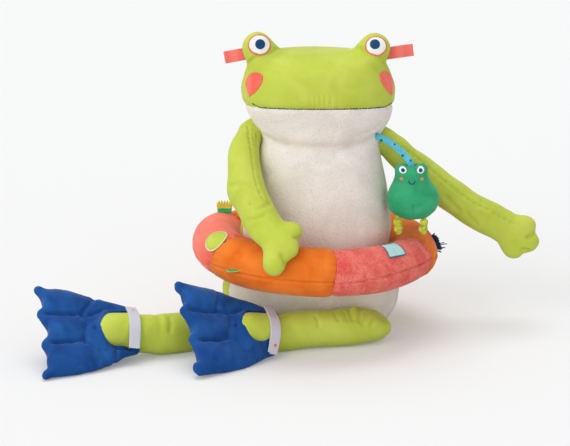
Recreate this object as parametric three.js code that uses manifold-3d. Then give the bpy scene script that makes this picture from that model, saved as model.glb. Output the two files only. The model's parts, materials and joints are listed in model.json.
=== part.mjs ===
// A sitting plush frog with a swim ring, two swim flippers and a small hanging toy, in millimetres.
// The frog faces -Y with +Z up, and its origin is the middle of its flat seat.
import * as THREE from 'three';
import { mergeVertices } from 'three/addons/utils/BufferGeometryUtils.js';
import Module from 'manifold-3d';

const wasm = await Module();
wasm.setup();

// Clearances that all pieces share
const seamGap = 0.3;
const overrun = 20;
const restCut = 0.5;

// Points round a section, steps along a form, and the part of a step that stays flat at a tip
const figurePoints = 34;
const limbPoints = 16;
const limbSteps = 12;
const legSteps = 14;
const endSteps = 3;
const tipShare = 0.4;
const fingerPoints = 12;
const fingerSteps = 2;
const ringPoints = 18;
const ringStepAngle = 9;
const capPoints = 20;
const capSteps = 3;
const bumpRows = 2;
const bumpSteps = 4;
const tipRows = 2;
const cordPoints = 5;
const mouthSteps = 22;
const patchPoints = 14;
const patchRows = 6;
const toyPoints = 18;
const bladeRows = 9;
const lobeColumns = 6;
const strapSteps = 10;

// Torso and head
const torsoHeight = 321;
const torsoHalfWidth = 146;
const torsoHalfDepth = 100;
const headHeight = 143;
const headHalfWidth = 123;
const headHalfDepth = 96;
const figureSquareness = 2.3;

// Height, half width, half depth and sideways lean of each section, as shares of the four torso
// sizes: height, half width, half depth and half width again
const torsoShares = [
  [0, 0.767, 0.62, -0.048],
  [0.037, 0.897, 0.72, -0.048],
  [0.109, 0.979, 0.78, -0.048],
  [0.212, 1, 0.86, -0.046],
  [0.312, 0.925, 0.95, -0.034],
  [0.349, 0.87, 0.98, -0.027],
  [0.39, 0.836, 0.99, -0.014],
  [0.436, 0.829, 1, -0.007],
  [0.48, 0.829, 1, 0],
  [0.536, 0.836, 0.99, 0.014],
  [0.592, 0.815, 0.97, 0.017],
  [0.67, 0.795, 0.93, 0.02],
  [0.763, 0.76, 0.89, 0.027],
  [0.903, 0.692, 0.81, 0.027],
  [0.966, 0.658, 0.75, 0.038],
  [1, 0.639, 0.72, 0.047],
];
const headShares = [
  [0.063, 0.809, 0.8, 0.065],
  [0.119, 0.85, 0.845, 0.067],
  [0.217, 0.916, 0.905, 0.065],
  [0.322, 0.959, 0.96, 0.041],
  [0.448, 0.992, 0.99, 0.028],
  [0.552, 1, 1, 0.026],
  [0.678, 0.955, 0.985, 0.021],
  [0.776, 0.915, 0.93, 0.02],
  [0.853, 0.852, 0.83, 0.016],
  [0.92, 0.7, 0.65, 0.016],
  [0.964, 0.472, 0.44, 0.016],
  [0.985, 0.228, 0.21, 0.016],
];

// Seams of the torso and head: where each plane crosses the middle and how it slopes
const torsoSeamDepth = 21;
const torsoSeamAcrossShare = 0.12;
const torsoSeamRiseShare = 0.05;
const headSeamDepth = 8;
const headSeamAcrossShare = 0.06;
const mouthSeamRise = 49.5;
const mouthSeamHeight = torsoHeight + mouthSeamRise;
const mouthSeamSlopeShare = 0.115;
const mouthCordRadius = 1.3;
const mouthStandShare = 0.7;
const mouthHalfWidth = 109;
const mouthShift = 5.5;
const mouthTickRise = 5;

// Eyes
const eyeSpacing = 185;
const eyeBehindFront = 71;
const eyeRadius = 24.5;
const eyeRootRadius = 31;
const eyeRootDrop = 32;
const eyeRootInset = 20;
const eyeRootBack = 10;
const eyeLift = 0.9;
const eyeLayer = 1.1;
const eyeWhiteAngle = 37;
const eyeRingWidthAngle = 6;
const pupilRadius = 8;

// Height of each eye's middle over the crown's top, and where its white and its pupil look:
// degrees round from the front, degrees up
const eyeLooks = {
  left: { side: 1, rise: 2, white: [4, 17], pupil: [-2, 21] },
  right: { side: -1, rise: 4, white: [9, 18], pupil: [10, 17] },
};

// Woven tags beside the eyes, each a drop below the crown's top
const tagWidth = 19.5;
const tagThickness = 2;
const tagBehindEye = 10;
const tagPlaces = {
  left: { side: 1, drop: 11, rise: 0.13, reach: 37 },
  right: { side: -1, drop: 5, rise: 0.2, reach: 29 },
};

// Teardrop cheeks: sizes, how far round from the front each one lies, and where its tip points
const cheekHeight = 42;
const cheekWidth = 40;
const cheekLayer = 1.4;
const cheekRise = 93;
const cheekPlugShare = 0.5;
const cheekTipAngle = 12;
const cheekShiftShare = 0.02;
const cheekAzimuths = { left: 70, right: -62 };

// Arms
const armLeftRootRadius = 26;
const armRightRootRadius = 19;
const armRadius = 26.5;
const handThickness = 29;
const fingerRadius = 18;
const fingerTaper = 1.2;
const armLeftNeckDrop = 25;
const armLeftRootDepth = 10;
const armRightNeckDrop = -4;
const armRightRootDepth = -5;

// Legs
const legRadius = 29.5;
const footRadius = 26.5;

// Swim ring
const ringTube = 37.5;
const ringClearance = 4;
const ringWaistShare = 0.4162;
const ringCentreHeight = ringWaistShare * torsoHeight;
const ringTiltSide = 2.9;
const ringTiltFront = -1;
const ringPucker = 1.6;
const ringPuckerPower = 6;
const ringSeamAngles = [-57, 8.3, 70, 128, 186, 244];

// Flippers
const flipperLength = 146;
const flipperToeWidth = 162;
const flipperHeelWidth = 86;
const flipperToeThickness = 13;
const flipperHeelThickness = 18;
const flipperLobes = 3;
const flipperPad = 8;
const flipperWeb = 10;
const flipperBow = 12;
const padStartShare = 0.45;
const padFullShare = 0.62;
const toeThinFromShare = 0.85;
const toeThinShare = 0.35;
const edgeThinShare = 0.6;
const edgeRollShare = 0.11;
const shoeWall = 5;
const shoeClearance = 1;
const heelSet = -4;
const openingHalfLength = 24;
const openingHalfWidth = 23;
const openingPlaceShare = 0.94;
const openingAcross = 8;
const openingFloorShare = 0.25;
const strapWidth = 18;
const strapThickness = 2.4;
const strapPlace = 4.5;
const strapSlant = 7;

// Hanging toy
const toyHeight = 93;
const toyHalfWidth = 42.2;
const toyHalfDepth = 30;
const toyEyeRadius = 11;
const toyStrapWidth = 11;
const ribbonThickness = 1.6;

// Path of each arm from its root ball: offsets as shares of the arm's length, then half width
// and half thickness as shares of the arm's radius. The right arm comes down to the ring, so its
// offsets in height are shares of the drop from its root to the ring's middle.
const armLength = 218;
const armLeftShares = [
  [0, 0, 0, 1, 1],
  [0.261, 0.09, -0.269, 1.02, 1],
  [0.567, 0.09, -0.496, 1.02, 0.95],
  [0.822, 0.09, -0.641, 1.05, 0.62],
];
const fingersLeftShares = [
  [0.977, 0.09, -0.631],
  [1.006, 0.09, -0.766],
  [0.896, 0.09, -0.841],
];
const armRightShares = [
  [0, 0, 0, 1, 1],
  [-0.023, -0.115, -0.115, 0.9, 0.9],
  [0.004, -0.275, -0.251, 1.02, 0.98],
  [0.031, -0.41, -0.407, 1.07, 1.02],
  [0.09, -0.54, -0.54, 1.08, 0.96],
  [0.169, -0.66, -0.645, 1.02, 0.72],
  [0.204, -0.745, -0.691, 1, 0.54],
];
const fingersRightShares = [
  [0.334, -0.71, -0.644],
  [0.305, -0.835, -0.75],
  [0.19, -0.88, -0.857],
];
const handRightFacing = [-0.144, -0.494, 0.857];

// Legs and flippers: the hip's place across the torso, the leg's bends and the heel as shares of
// its length from the hip, and the turn towards the front, rise and tilt of the flipper
const legLength = 180;
const footStraight = 22;
const footReach = 34;
const legPlaces = {
  left: {
    hip: 0.6,
    bendShares: [
      [-0.245, -0.085, 0],
      [-0.517, -0.135, 0.003],
      [-0.74, -0.195, 0.008],
    ],
    heelShares: [-0.9, -0.3, 0.034],
    flipper: { azimuth: 28.9, rise: 11, tilt: 47.6 },
  },
  right: {
    hip: -0.767,
    bendShares: [
      [-0.24, -0.11, 0.003],
      [-0.49, -0.22, 0.01],
      [-0.71, -0.315, 0.03],
    ],
    heelShares: [-0.973, -0.414, 0.068],
    flipper: { azimuth: 19.3, rise: 5.7, tilt: 53 },
  },
};

// Trim of the swim ring: angles are round from the front, then up from the outer side
const patchLift = 0.3;
const patchLayer = 1;
const labelRound = [35.5, 47.5];
const labelUp = [45, 97];
const motifRound = -57.6;
const motifUp = 46;
const motifRadius = 22;
const motifTipShare = 0.94;
const leafRound = -40.5;
const leafUp = -6;
const leafReach = 7;
const leafWidth = 32;
const combRound = -107;
const combWidth = 26;
const combBand = 6;
const combHeight = 21;
const combTooth = 6;
const combTeeth = 5;
const combToothShare = 0.7;
const fringeUpFrom = 4;
const fringeUpTo = 48;
const fringeTeeth = 6;
const fringeThreads = 3;
const fringeTooth = 7;
const fringeRoot = 2.3;
const fringeThread = 15;
const fringeThickness = 3;

// Places of the hanging toy, beside the belly and over the ring, and its sections: height, half
// width, half depth and lean as shares
const toyOutside = 8.4;
const toyMiddle = torsoHalfWidth + toyOutside;
const toyDepthShare = 0.58;
const toyDepth = -toyDepthShare * torsoHalfDepth;
const toyAboveRing = 23.6;
const toyTop = ringCentreHeight + ringTube + toyAboveRing + toyHeight;
const toyHeadLean = -3.4;
const toyBumpSpacing = 34.4;
const toyEyeSpacing = 28.9;
const toyEyeDrop = 7;
const toyWhiteRadius = 5.6;
const toyPupilRadius = 2.8;
const toyCheekRadius = 2.8;
const toyCheekDrop = 13;
const toySquareness = 2.2;
const toyKnotRadius = 6.2;
const toyCordPoints = 10;
const toyCordSteps = 10;
const toyShares = [
  [0, 0.2, 0.2, 0],
  [0.05, 0.6, 0.62, 0],
  [0.16, 0.86, 0.88, 0],
  [0.29, 0.98, 1, 0],
  [0.42, 1, 1, 0],
  [0.55, 0.9, 0.95, -0.01],
  [0.66, 0.73, 0.88, -0.04],
  [0.76, 0.625, 0.83, -0.07],
  [0.85, 0.64, 0.83, -0.08],
  [0.92, 0.58, 0.72, -0.08],
  [0.97, 0.36, 0.48, -0.08],
];
const toyFootShares = [
  [-0.5, -0.2, 0.12, 0.5],
  [-0.52, -0.5, 0, 0.5],
  [-0.53, -0.62, -0.07, 1],
  [-0.55, -0.75, -0.14, 0.62],
  [-0.56, -0.85, -0.2, 0.7],
];

// Strap of the toy: its root inside the neck, as shares of the torso's half width and half depth
// and a rise over the neck, and its path as shares of the way to the toy's top
const strapRootShares = [0.575, -0.34];
const strapRootRise = 6;
const strapPathShares = [
  [0, 0, 0],
  [0.18, 0.17, 0.03],
  [0.49, 0.33, 0.2],
  [0.81, 0.67, 0.51],
  [0.985, 0.96, 0.8],
  [1, 1, 1],
];

const frog = new THREE.Group();
const v = (x, y, z) => new THREE.Vector3(x, y, z);
const radians = THREE.MathUtils.degToRad;
const mix = THREE.MathUtils.lerp;

// Colours and surfaces of the cloths
const cloths = {
  lime: { color: '#c6d650', roughness: 0.9, metalness: 0 },
  cream: { color: '#e6ded4', roughness: 0.95, metalness: 0 },
  coral: { color: '#fa6a58', roughness: 0.85, metalness: 0 },
  orange: { color: '#f47d20', roughness: 0.85, metalness: 0 },
  blue: { color: '#1f55a3', roughness: 0.85, metalness: 0 },
  white: { color: '#f5f3f0', roughness: 0.8, metalness: 0 },
  navy: { color: '#143c6c', roughness: 0.8, metalness: 0 },
  forest: { color: '#22402c', roughness: 0.9, metalness: 0 },
  turquoise: { color: '#5fbcd6', roughness: 0.6, metalness: 0 },
  green: { color: '#2a9d60', roughness: 0.9, metalness: 0 },
  yellow: { color: '#d3c83c', roughness: 0.8, metalness: 0 },
};

// Gives a triangle list back as a closed solid, its faces turned outwards
function solidFrom(geometry) {
  const bare = geometry.index ? geometry : mergeVertices(geometry);
  bare.deleteAttribute('normal');
  bare.deleteAttribute('uv');
  const merged = mergeVertices(bare);
  const make = (triangles) =>
    new wasm.Manifold(
      new wasm.Mesh({
        numProp: 3,
        vertProperties: new Float32Array(merged.attributes.position.array),
        triVerts: triangles,
      }),
    );
  const triangles = new Uint32Array(merged.index.array);
  const solid = make(triangles);
  return solid.volume() > 0 ? solid : make(triangles.reverse());
}

// Joins closed sections of equally many points into one solid with flat ends
function loft(sections) {
  const count = sections[0].length;
  const positions = [];
  const triangles = [];
  sections.flat().forEach((p) => positions.push(p.x, p.y, p.z));
  for (let s = 0; s + 1 < sections.length; s += 1) {
    for (let k = 0; k < count; k += 1) {
      const a = s * count + k;
      const b = s * count + ((k + 1) % count);
      triangles.push(a, b, b + count, a, b + count, a + count);
    }
  }
  const addCap = (first, flip) => {
    const centre = v(0, 0, 0);
    const ring = sections[first / count];
    ring.forEach((p) => centre.addScaledVector(p, 1 / count));
    const tip = positions.length / 3;
    positions.push(centre.x, centre.y, centre.z);
    for (let k = 0; k < count; k += 1) {
      const a = first + k;
      const b = first + ((k + 1) % count);
      triangles.push(...(flip ? [b, a, tip] : [a, b, tip]));
    }
  };
  addCap(0, true);
  addCap((sections.length - 1) * count, false);
  const geometry = new THREE.BufferGeometry();
  geometry.setAttribute('position', new THREE.Float32BufferAttribute(positions, 3));
  geometry.setIndex(triangles);
  return solidFrom(geometry);
}

// Points of an oval, squarer as its squareness passes 2
function oval(centre, across, along, halfAcross, halfAlong, count, squareness = 2) {
  const power = 2 / squareness;
  const reach = (value) => Math.sign(value) * Math.abs(value) ** power;
  return Array.from({ length: count }, (_, k) => {
    const angle = (2 * Math.PI * (k + 0.5)) / count;
    return centre
      .clone()
      .addScaledVector(across, halfAcross * reach(Math.cos(angle)))
      .addScaledVector(along, halfAlong * reach(Math.sin(angle)));
  });
}

// Angles of the sections that round off a tip
function tipAngles(steps) {
  return Array.from({ length: steps }, (_, k) => ((Math.PI / 2) * (k + 1)) / (steps + tipShare));
}

// A stuffed limb along a smooth path. Each stop has its place, half width, half thickness and,
// where it matters, the direction of its thickness. Both ends are rounded.
function limb(stops, steps, count = limbPoints, tipSteps = endSteps) {
  const curve = new THREE.CatmullRomCurve3(stops.map((stop) => stop.at), false, 'centripetal');
  const sample = (share) => {
    const place = share * (stops.length - 1);
    const low = Math.min(Math.floor(place), stops.length - 2);
    const part = place - low;
    const ease = THREE.MathUtils.smoothstep(part, 0, 1);
    const from = stops[low];
    const to = stops[low + 1];
    const tangent = curve.getTangent(share);
    const facing = from.facing.clone().lerp(to.facing, part);
    const across = v(0, 0, 0).crossVectors(facing, tangent).normalize();
    return {
      at: curve.getPoint(share),
      tangent,
      across,
      thickness: v(0, 0, 0).crossVectors(tangent, across),
      wide: mix(from.wide, to.wide, ease),
      thick: mix(from.thick, to.thick, ease),
    };
  };
  const section = (s, push, size) =>
    oval(
      s.at.clone().addScaledVector(s.tangent, push),
      s.across,
      s.thickness,
      s.wide * size,
      s.thick * size,
      count,
    );
  const tip = (s, side) =>
    tipAngles(tipSteps).map((angle) =>
      section(s, side * Math.min(s.wide, s.thick) * Math.sin(angle), Math.cos(angle)),
    );
  const middle = Array.from({ length: steps + 1 }, (_, k) => section(sample(k / steps), 0, 1));
  return loft([...tip(sample(0), -1).reverse(), ...middle, ...tip(sample(1), 1)]);
}

// An outline in the x-y plane pushed up along z
function slab(outline, thickness) {
  const geometry = new THREE.ExtrudeGeometry(new THREE.Shape(outline), {
    depth: thickness,
    bevelEnabled: false,
    steps: 1,
  });
  return solidFrom(geometry);
}

// Turns a solid so that its x and y axes follow two directions, and moves it to a place
function placed(solid, at, xAxis, yAxis) {
  const z = v(0, 0, 0).crossVectors(xAxis, yAxis).normalize();
  const y = v(0, 0, 0).crossVectors(z, xAxis).normalize();
  const matrix = new THREE.Matrix4().makeBasis(xAxis.clone().normalize(), y, z).setPosition(at);
  return solid.transform(matrix.elements);
}

function placedBy(solid, matrix) {
  return solid.transform(matrix.elements);
}

// The biggest of the bodies a cut leaves
function largest(solid) {
  return solid.decompose().reduce((best, part) => (part.volume() > best.volume() ? part : best));
}

// Corners of an upright rectangle
function box(left, right, low, high) {
  return [
    new THREE.Vector2(left, low),
    new THREE.Vector2(right, low),
    new THREE.Vector2(right, high),
    new THREE.Vector2(left, high),
  ];
}

// The part of a solid on the far side of a plane, half a seam gap away from it
function beyond(solid, normal, point) {
  const unit = normal.clone().normalize();
  return solid.trimByPlane(unit.toArray(), unit.dot(point) + seamGap / 2);
}

function geometryOf(solid) {
  const mesh = solid.getMesh();
  const geometry = new THREE.BufferGeometry();
  geometry.setAttribute('position', new THREE.Float32BufferAttribute(mesh.vertProperties, 3));
  geometry.setIndex(Array.from(mesh.triVerts));
  geometry.computeVertexNormals();
  return geometry;
}

function addPiece(name, solid, cloth) {
  const mesh = new THREE.Mesh(geometryOf(solid), new THREE.MeshStandardMaterial(cloths[cloth]));
  mesh.name = name;
  frog.add(mesh);
  return solid;
}

// Torso and head as one smooth form, grown outwards by a clearance where it is used to cut
function figureSections(grow) {
  const torso = torsoShares.map(([up, wide, deep, lean]) => ({
    height: up * torsoHeight,
    wide: wide * torsoHalfWidth,
    deep: deep * torsoHalfDepth,
    lean: lean * torsoHalfWidth,
  }));
  const head = headShares.map(([up, wide, deep, lean]) => ({
    height: torsoHeight + up * headHeight,
    wide: wide * headHalfWidth,
    deep: deep * headHalfDepth,
    lean: lean * headHalfWidth,
  }));
  const all = [...torso, ...head];
  const top = all[all.length - 1];
  return all.map((s) => ({ ...s, height: s.height + (s === top ? grow : 0) }));
}

function figureForm(grow = 0) {
  const sections = figureSections(grow).map((s) =>
    oval(
      v(s.lean, 0, s.height),
      v(1, 0, 0),
      v(0, 1, 0),
      s.wide + grow,
      s.deep + grow,
      figurePoints,
      figureSquareness,
    ),
  );
  return loft(sections);
}

const figure = figureForm();
const figureClear = figureForm(seamGap);

// Half width, half depth and lean of the figure at any height
function figureAt(height) {
  const sections = figureSections(0);
  const next = Math.max(1, sections.findIndex((s) => s.height >= height));
  const a = sections[next - 1];
  const b = sections[next];
  const share = (height - a.height) / (b.height - a.height);
  return {
    wide: mix(a.wide, b.wide, share),
    deep: mix(a.deep, b.deep, share),
    lean: mix(a.lean, b.lean, share),
  };
}

// The front or side of the figure at a height
function frontDepth(x, height) {
  const { wide, deep, lean } = figureAt(height);
  const share = Math.min(1, Math.abs(x - lean) / wide);
  return -deep * (1 - share ** figureSquareness) ** (1 / figureSquareness);
}

// Frame of the swim ring, tilted about its middle
const ringFrame = new THREE.Matrix4()
  .makeRotationX(radians(ringTiltFront))
  .multiply(new THREE.Matrix4().makeRotationY(radians(ringTiltSide)))
  .setPosition(0, 0, ringCentreHeight);
const ringRadius = figureAt(ringCentreHeight).wide + ringClearance + ringTube;

// The ring grown by a clearance, to cut what lies against it
const ringCutter = solidFrom(
  new THREE.TorusGeometry(ringRadius, ringTube + seamGap, 2 * ringPoints, 2 * figurePoints),
);
const ringClear = placedBy(ringCutter, ringFrame);

// Faces of a solid, to measure distances to
function facesOf(solid) {
  const { vertProperties, triVerts } = solid.getMesh();
  const corner = (index) => v(0, 0, 0).fromArray(vertProperties, index * 3);
  return Array.from({ length: triVerts.length / 3 }, (_, k) =>
    new THREE.Triangle(...[0, 1, 2].map((c) => corner(triVerts[k * 3 + c]))),
  );
}

const figureFaces = facesOf(figure);

function distanceToFigure(point) {
  const nearest = v(0, 0, 0);
  let best = Infinity;
  figureFaces.forEach((face) => {
    face.closestPointToPoint(point, nearest);
    best = Math.min(best, nearest.distanceTo(point));
  });
  return best;
}

// Moves a ball in from outside, against a direction, until it rests on the figure
function seatBall(start, outward, radius) {
  let reach = 2 * torsoHalfWidth + radius;
  let point = start;
  let gap = Infinity;
  while (gap > seamGap / 100) {
    point = start.clone().addScaledVector(outward, reach);
    gap = distanceToFigure(point) - radius - seamGap;
    reach -= gap;
  }
  return point;
}

function buildTorsoAndHead() {
  const neck = v(0, 0, torsoHeight);
  const torso = beyond(figure, v(0, 0, -1), neck);
  const head = beyond(figure, v(0, 0, 1), neck);
  const torsoSeam = v(-torsoSeamAcrossShare, 1, -torsoSeamRiseShare);
  const torsoSeamPoint = v(0, -torsoSeamDepth, 0);
  addPiece('belly_panel', beyond(torso, torsoSeam.clone().negate(), torsoSeamPoint), 'cream');
  addPiece('back_panel', beyond(torso, torsoSeam, torsoSeamPoint), 'lime');
  const mouthSeam = v(0, mouthSeamSlopeShare, 1);
  const mouthPoint = v(0, 0, mouthSeamHeight);
  const jaw = beyond(head, mouthSeam.clone().negate(), mouthPoint);
  const headSeam = v(-headSeamAcrossShare, 1, 0);
  const headSeamPoint = v(0, headSeamDepth, 0);
  addPiece('chin_panel', beyond(jaw, headSeam.clone().negate(), headSeamPoint), 'cream');
  addPiece('nape_panel', beyond(jaw, headSeam, headSeamPoint), 'lime');
  addPiece('crown', beyond(head, mouthSeam, mouthPoint), 'lime');
}

// The stitched mouth, a cord along the front of the mouth seam with raised ends
function buildMouth() {
  const { lean } = figureAt(mouthSeamHeight);
  const stops = Array.from({ length: mouthSteps + 1 }, (_, k) => {
    const x = lean + mouthShift + mouthHalfWidth * mix(-1, 1, k / mouthSteps);
    const rise = k === 0 || k === mouthSteps ? mouthTickRise : 0;
    const depth = frontDepth(x, mouthSeamHeight);
    const height = mouthSeamHeight - mouthSeamSlopeShare * depth + rise;
    const y = frontDepth(x, height);
    const outward = v(x - lean, y, 0).normalize();
    return {
      at: v(x, y, height).addScaledVector(outward, mouthCordRadius * mouthStandShare),
      wide: mouthCordRadius,
      thick: mouthCordRadius,
      facing: v(0, 0, 1),
    };
  });
  const cord = limb(stops, mouthSteps, cordPoints, 1);
  addPiece('mouth_stitching', cord.subtract(figureClear), 'forest');
}

// A thin cap or band of a ball, measured in degrees from its axis
function ballCap(inner, outer, fromAngle, toAngle) {
  const point = (radius, angle) =>
    new THREE.Vector2(radius * Math.sin(radians(angle)), radius * Math.cos(radians(angle)));
  const arc = (radius, from, to) =>
    Array.from({ length: capSteps + 1 }, (_, k) => point(radius, mix(from, to, k / capSteps)));
  const profile = [...arc(outer, fromAngle, toAngle), ...arc(inner, toAngle, fromAngle)];
  if (fromAngle > 0) profile.push(profile[0]);
  profile.forEach((p) => {
    if (Math.abs(p.x) < seamGap / 100) p.x = 0;
  });
  return solidFrom(new THREE.LatheGeometry(profile, capPoints));
}

// Turns a cap, built around +Y, to look along a direction
function looking(cap, centre, direction) {
  const turn = new THREE.Quaternion().setFromUnitVectors(v(0, 1, 0), direction.clone().normalize());
  const matrix = new THREE.Matrix4().compose(centre, turn, v(1, 1, 1));
  return placedBy(cap, matrix);
}

function gaze(azimuth, elevation) {
  const a = radians(azimuth);
  const e = radians(elevation);
  return v(Math.sin(a) * Math.cos(e), -Math.cos(a) * Math.cos(e), Math.sin(e));
}

// A raised eye on each side of the crown: its bump, its white, the ring round it and the pupil
function buildEyes() {
  const bumps = {};
  Object.entries(eyeLooks).forEach(([name, look]) => {
    const centre = v(
      (look.side * eyeSpacing) / 2,
      eyeBehindFront - headHalfDepth,
      torsoHeight + headHeight + look.rise,
    );
    const root = centre.clone().add(v(-look.side * eyeRootInset, eyeRootBack, -eyeRootDrop));
    const bumpForm = (grow) => {
      const stop = (at, radius) => ({
        at,
        wide: radius + grow,
        thick: radius + grow,
        facing: v(0, -1, 0),
      });
      const stops = [stop(centre, eyeRadius), stop(root, eyeRootRadius)];
      return limb(stops, bumpRows, capPoints, bumpSteps);
    };
    const bumpClear = bumpForm(seamGap);
    bumps[name] = bumpClear;
    addPiece(`eye_bump_${name}`, bumpForm(0).subtract(figureClear), 'lime');
    const inner = eyeRadius + eyeLift;
    const outer = inner + eyeLayer;
    const whiteLook = gaze(...look.white);
    const trimmed = (cap) => largest(cap.subtract(figureClear).subtract(bumpClear));
    const white = looking(ballCap(inner, outer, 0, eyeWhiteAngle), centre, whiteLook);
    addPiece(`eye_white_${name}`, trimmed(white), 'white');
    const from = eyeWhiteAngle + THREE.MathUtils.radToDeg(seamGap / inner);
    const band = looking(ballCap(inner, outer, from, from + eyeRingWidthAngle), centre, whiteLook);
    addPiece(`eye_ring_${name}`, trimmed(band), 'coral');
    const lift = outer + seamGap;
    const pupilAngle = THREE.MathUtils.radToDeg(pupilRadius / lift);
    const pupil = ballCap(lift, lift + eyeLayer, 0, pupilAngle);
    addPiece(`pupil_${name}`, looking(pupil, centre, gaze(...look.pupil)), 'navy');
  });
  return bumps;
}

// A flat woven tag sewn in beside each eye
function buildTags(bumps) {
  Object.entries(tagPlaces).forEach(([name, tag]) => {
    const long = v(tag.side, 0, tag.side * tag.rise).normalize();
    const length = tag.reach + eyeRadius;
    const outline = box(0, length, -tagWidth / 2, tagWidth / 2);
    const depth = eyeBehindFront - headHalfDepth + tagBehindEye;
    const start = v((tag.side * eyeSpacing) / 2, depth, torsoHeight + headHeight - tag.drop);
    const plate = placed(slab(outline, tagThickness), start, long, v(0, 0, tag.side));
    addPiece(`ribbon_tag_${name}`, largest(plate.subtract(figureClear).subtract(bumps[name])), 'coral');
  });
}

// A teardrop outline: an arc closed by two straight sides that meet in a tip
function teardrop(radius, tipDistance, tipAngle) {
  const spread = Math.acos(radius / tipDistance);
  const outline = [
    new THREE.Vector2(tipDistance * Math.cos(tipAngle), tipDistance * Math.sin(tipAngle)),
  ];
  for (let k = 0; k <= patchPoints; k += 1) {
    const angle = mix(tipAngle + spread, tipAngle + 2 * Math.PI - spread, k / patchPoints);
    outline.push(new THREE.Vector2(radius * Math.cos(angle), radius * Math.sin(angle)));
  }
  return outline;
}

// A felt cheek on each side of the face, its tip down and outwards
function buildCheeks() {
  const skin = figureForm(seamGap + cheekLayer).subtract(figureClear);
  Object.entries(cheekAzimuths).forEach(([name, azimuth]) => {
    const side = Math.sign(azimuth);
    const outward = gaze(azimuth, 0);
    const across = v(0, 0, 0).crossVectors(v(0, 0, 1), outward);
    const tip = radians(side * cheekTipAngle) - Math.PI / 2;
    const outline = teardrop(cheekWidth / 2, cheekHeight - cheekWidth / 2, tip);
    const at = v(0, 0, torsoHeight + cheekRise);
    at.addScaledVector(outward, cheekPlugShare * headHalfDepth);
    at.addScaledVector(across, side * cheekShiftShare * cheekWidth);
    const plug = placed(slab(outline, headHalfWidth), at, across, v(0, 0, 1));
    addPiece(`cheek_${name}`, plug.intersect(skin), 'coral');
  });
}

// A stuffed arm that ends in a flat hand with three fingers. Its reach is the length that the
// shares of each axis follow.
function arm(root, rootRadius, reach, pathShares, fingerShares, facing) {
  const stops = pathShares.map(([x, y, z, wide, thick]) => ({
    at: root.clone().add(v(x, y, z).multiply(reach)),
    wide: wide * armRadius,
    thick: thick * armRadius,
    facing,
  }));
  stops[0].wide = rootRadius;
  stops[0].thick = rootRadius;
  const palm = stops[stops.length - 1];
  let solid = limb(stops, limbSteps);
  fingerShares.forEach(([x, y, z]) => {
    const tip = root.clone().add(v(x, y, z).multiply(reach));
    const ends = [
      { at: palm.at, wide: fingerRadius, thick: handThickness / 2, facing },
      { at: tip, wide: fingerRadius, thick: handThickness / 2 - fingerTaper, facing },
    ];
    solid = solid.add(limb(ends, fingerSteps, fingerPoints));
  });
  return solid;
}

function buildArms() {
  const leftStart = v(0, armLeftRootDepth, torsoHeight - armLeftNeckDrop);
  const leftRoot = seatBall(leftStart, v(1, 0, 0), armLeftRootRadius);
  const leftReach = v(armLength, armLength, armLength);
  addPiece(
    'arm_left',
    arm(leftRoot, armLeftRootRadius, leftReach, armLeftShares, fingersLeftShares, v(0, -1, 0)),
    'lime',
  );
  const rightStart = v(0, armRightRootDepth, torsoHeight - armRightNeckDrop);
  const rightRoot = seatBall(rightStart, v(-1, 0, 0), armRightRootRadius);
  const rightReach = v(armLength, armLength, rightRoot.z - ringCentreHeight);
  const right = arm(
    rightRoot,
    armRightRootRadius,
    rightReach,
    armRightShares,
    fingersRightShares,
    v(...handRightFacing),
  );
  addPiece('arm_right', right.subtract(ringClear), 'lime');
}

// Frame of a flipper: x to its toes, y to its lower edge, z out of its upper face
function flipperFrame(heel, place) {
  const azimuth = radians(place.azimuth);
  const rise = radians(place.rise);
  const tilt = radians(place.tilt);
  const toes = v(
    -Math.cos(azimuth) * Math.cos(rise),
    -Math.sin(azimuth) * Math.cos(rise),
    Math.sin(rise),
  );
  const forward = v(Math.sin(azimuth), -Math.cos(azimuth), 0);
  const up = v(0, 0, 0).crossVectors(toes, forward).negate();
  if (up.z < 0) up.negate();
  const lower = up.multiplyScalar(-Math.cos(tilt)).addScaledVector(forward, Math.sin(tilt));
  const face = v(0, 0, 0).crossVectors(toes, lower);
  return new THREE.Matrix4().makeBasis(toes, lower, face).setPosition(heel);
}

// A solid between two grids of points, the upper one over the lower one
function sheet(upper, lower) {
  const rows = upper.length;
  const columns = upper[0].length;
  const positions = [];
  [...upper.flat(), ...lower.flat()].forEach((p) => positions.push(p.x, p.y, p.z));
  const top = (r, c) => r * columns + c;
  const under = (r, c) => rows * columns + r * columns + c;
  const triangles = [];
  const quad = (a, b, c, d) => triangles.push(a, b, c, a, c, d);
  for (let r = 0; r + 1 < rows; r += 1) {
    for (let c = 0; c + 1 < columns; c += 1) {
      quad(top(r, c), top(r, c + 1), top(r + 1, c + 1), top(r + 1, c));
      quad(under(r, c), under(r + 1, c), under(r + 1, c + 1), under(r, c + 1));
    }
  }
  for (let c = 0; c + 1 < columns; c += 1) {
    quad(top(0, c + 1), top(0, c), under(0, c), under(0, c + 1));
    quad(top(rows - 1, c), top(rows - 1, c + 1), under(rows - 1, c + 1), under(rows - 1, c));
  }
  for (let r = 0; r + 1 < rows; r += 1) {
    quad(top(r, 0), top(r + 1, 0), under(r + 1, 0), under(r, 0));
    quad(top(r + 1, columns - 1), top(r, columns - 1), under(r, columns - 1), under(r + 1, columns - 1));
  }
  const geometry = new THREE.BufferGeometry();
  geometry.setAttribute('position', new THREE.Float32BufferAttribute(positions, 3));
  geometry.setIndex(triangles);
  return solidFrom(geometry);
}

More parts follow.
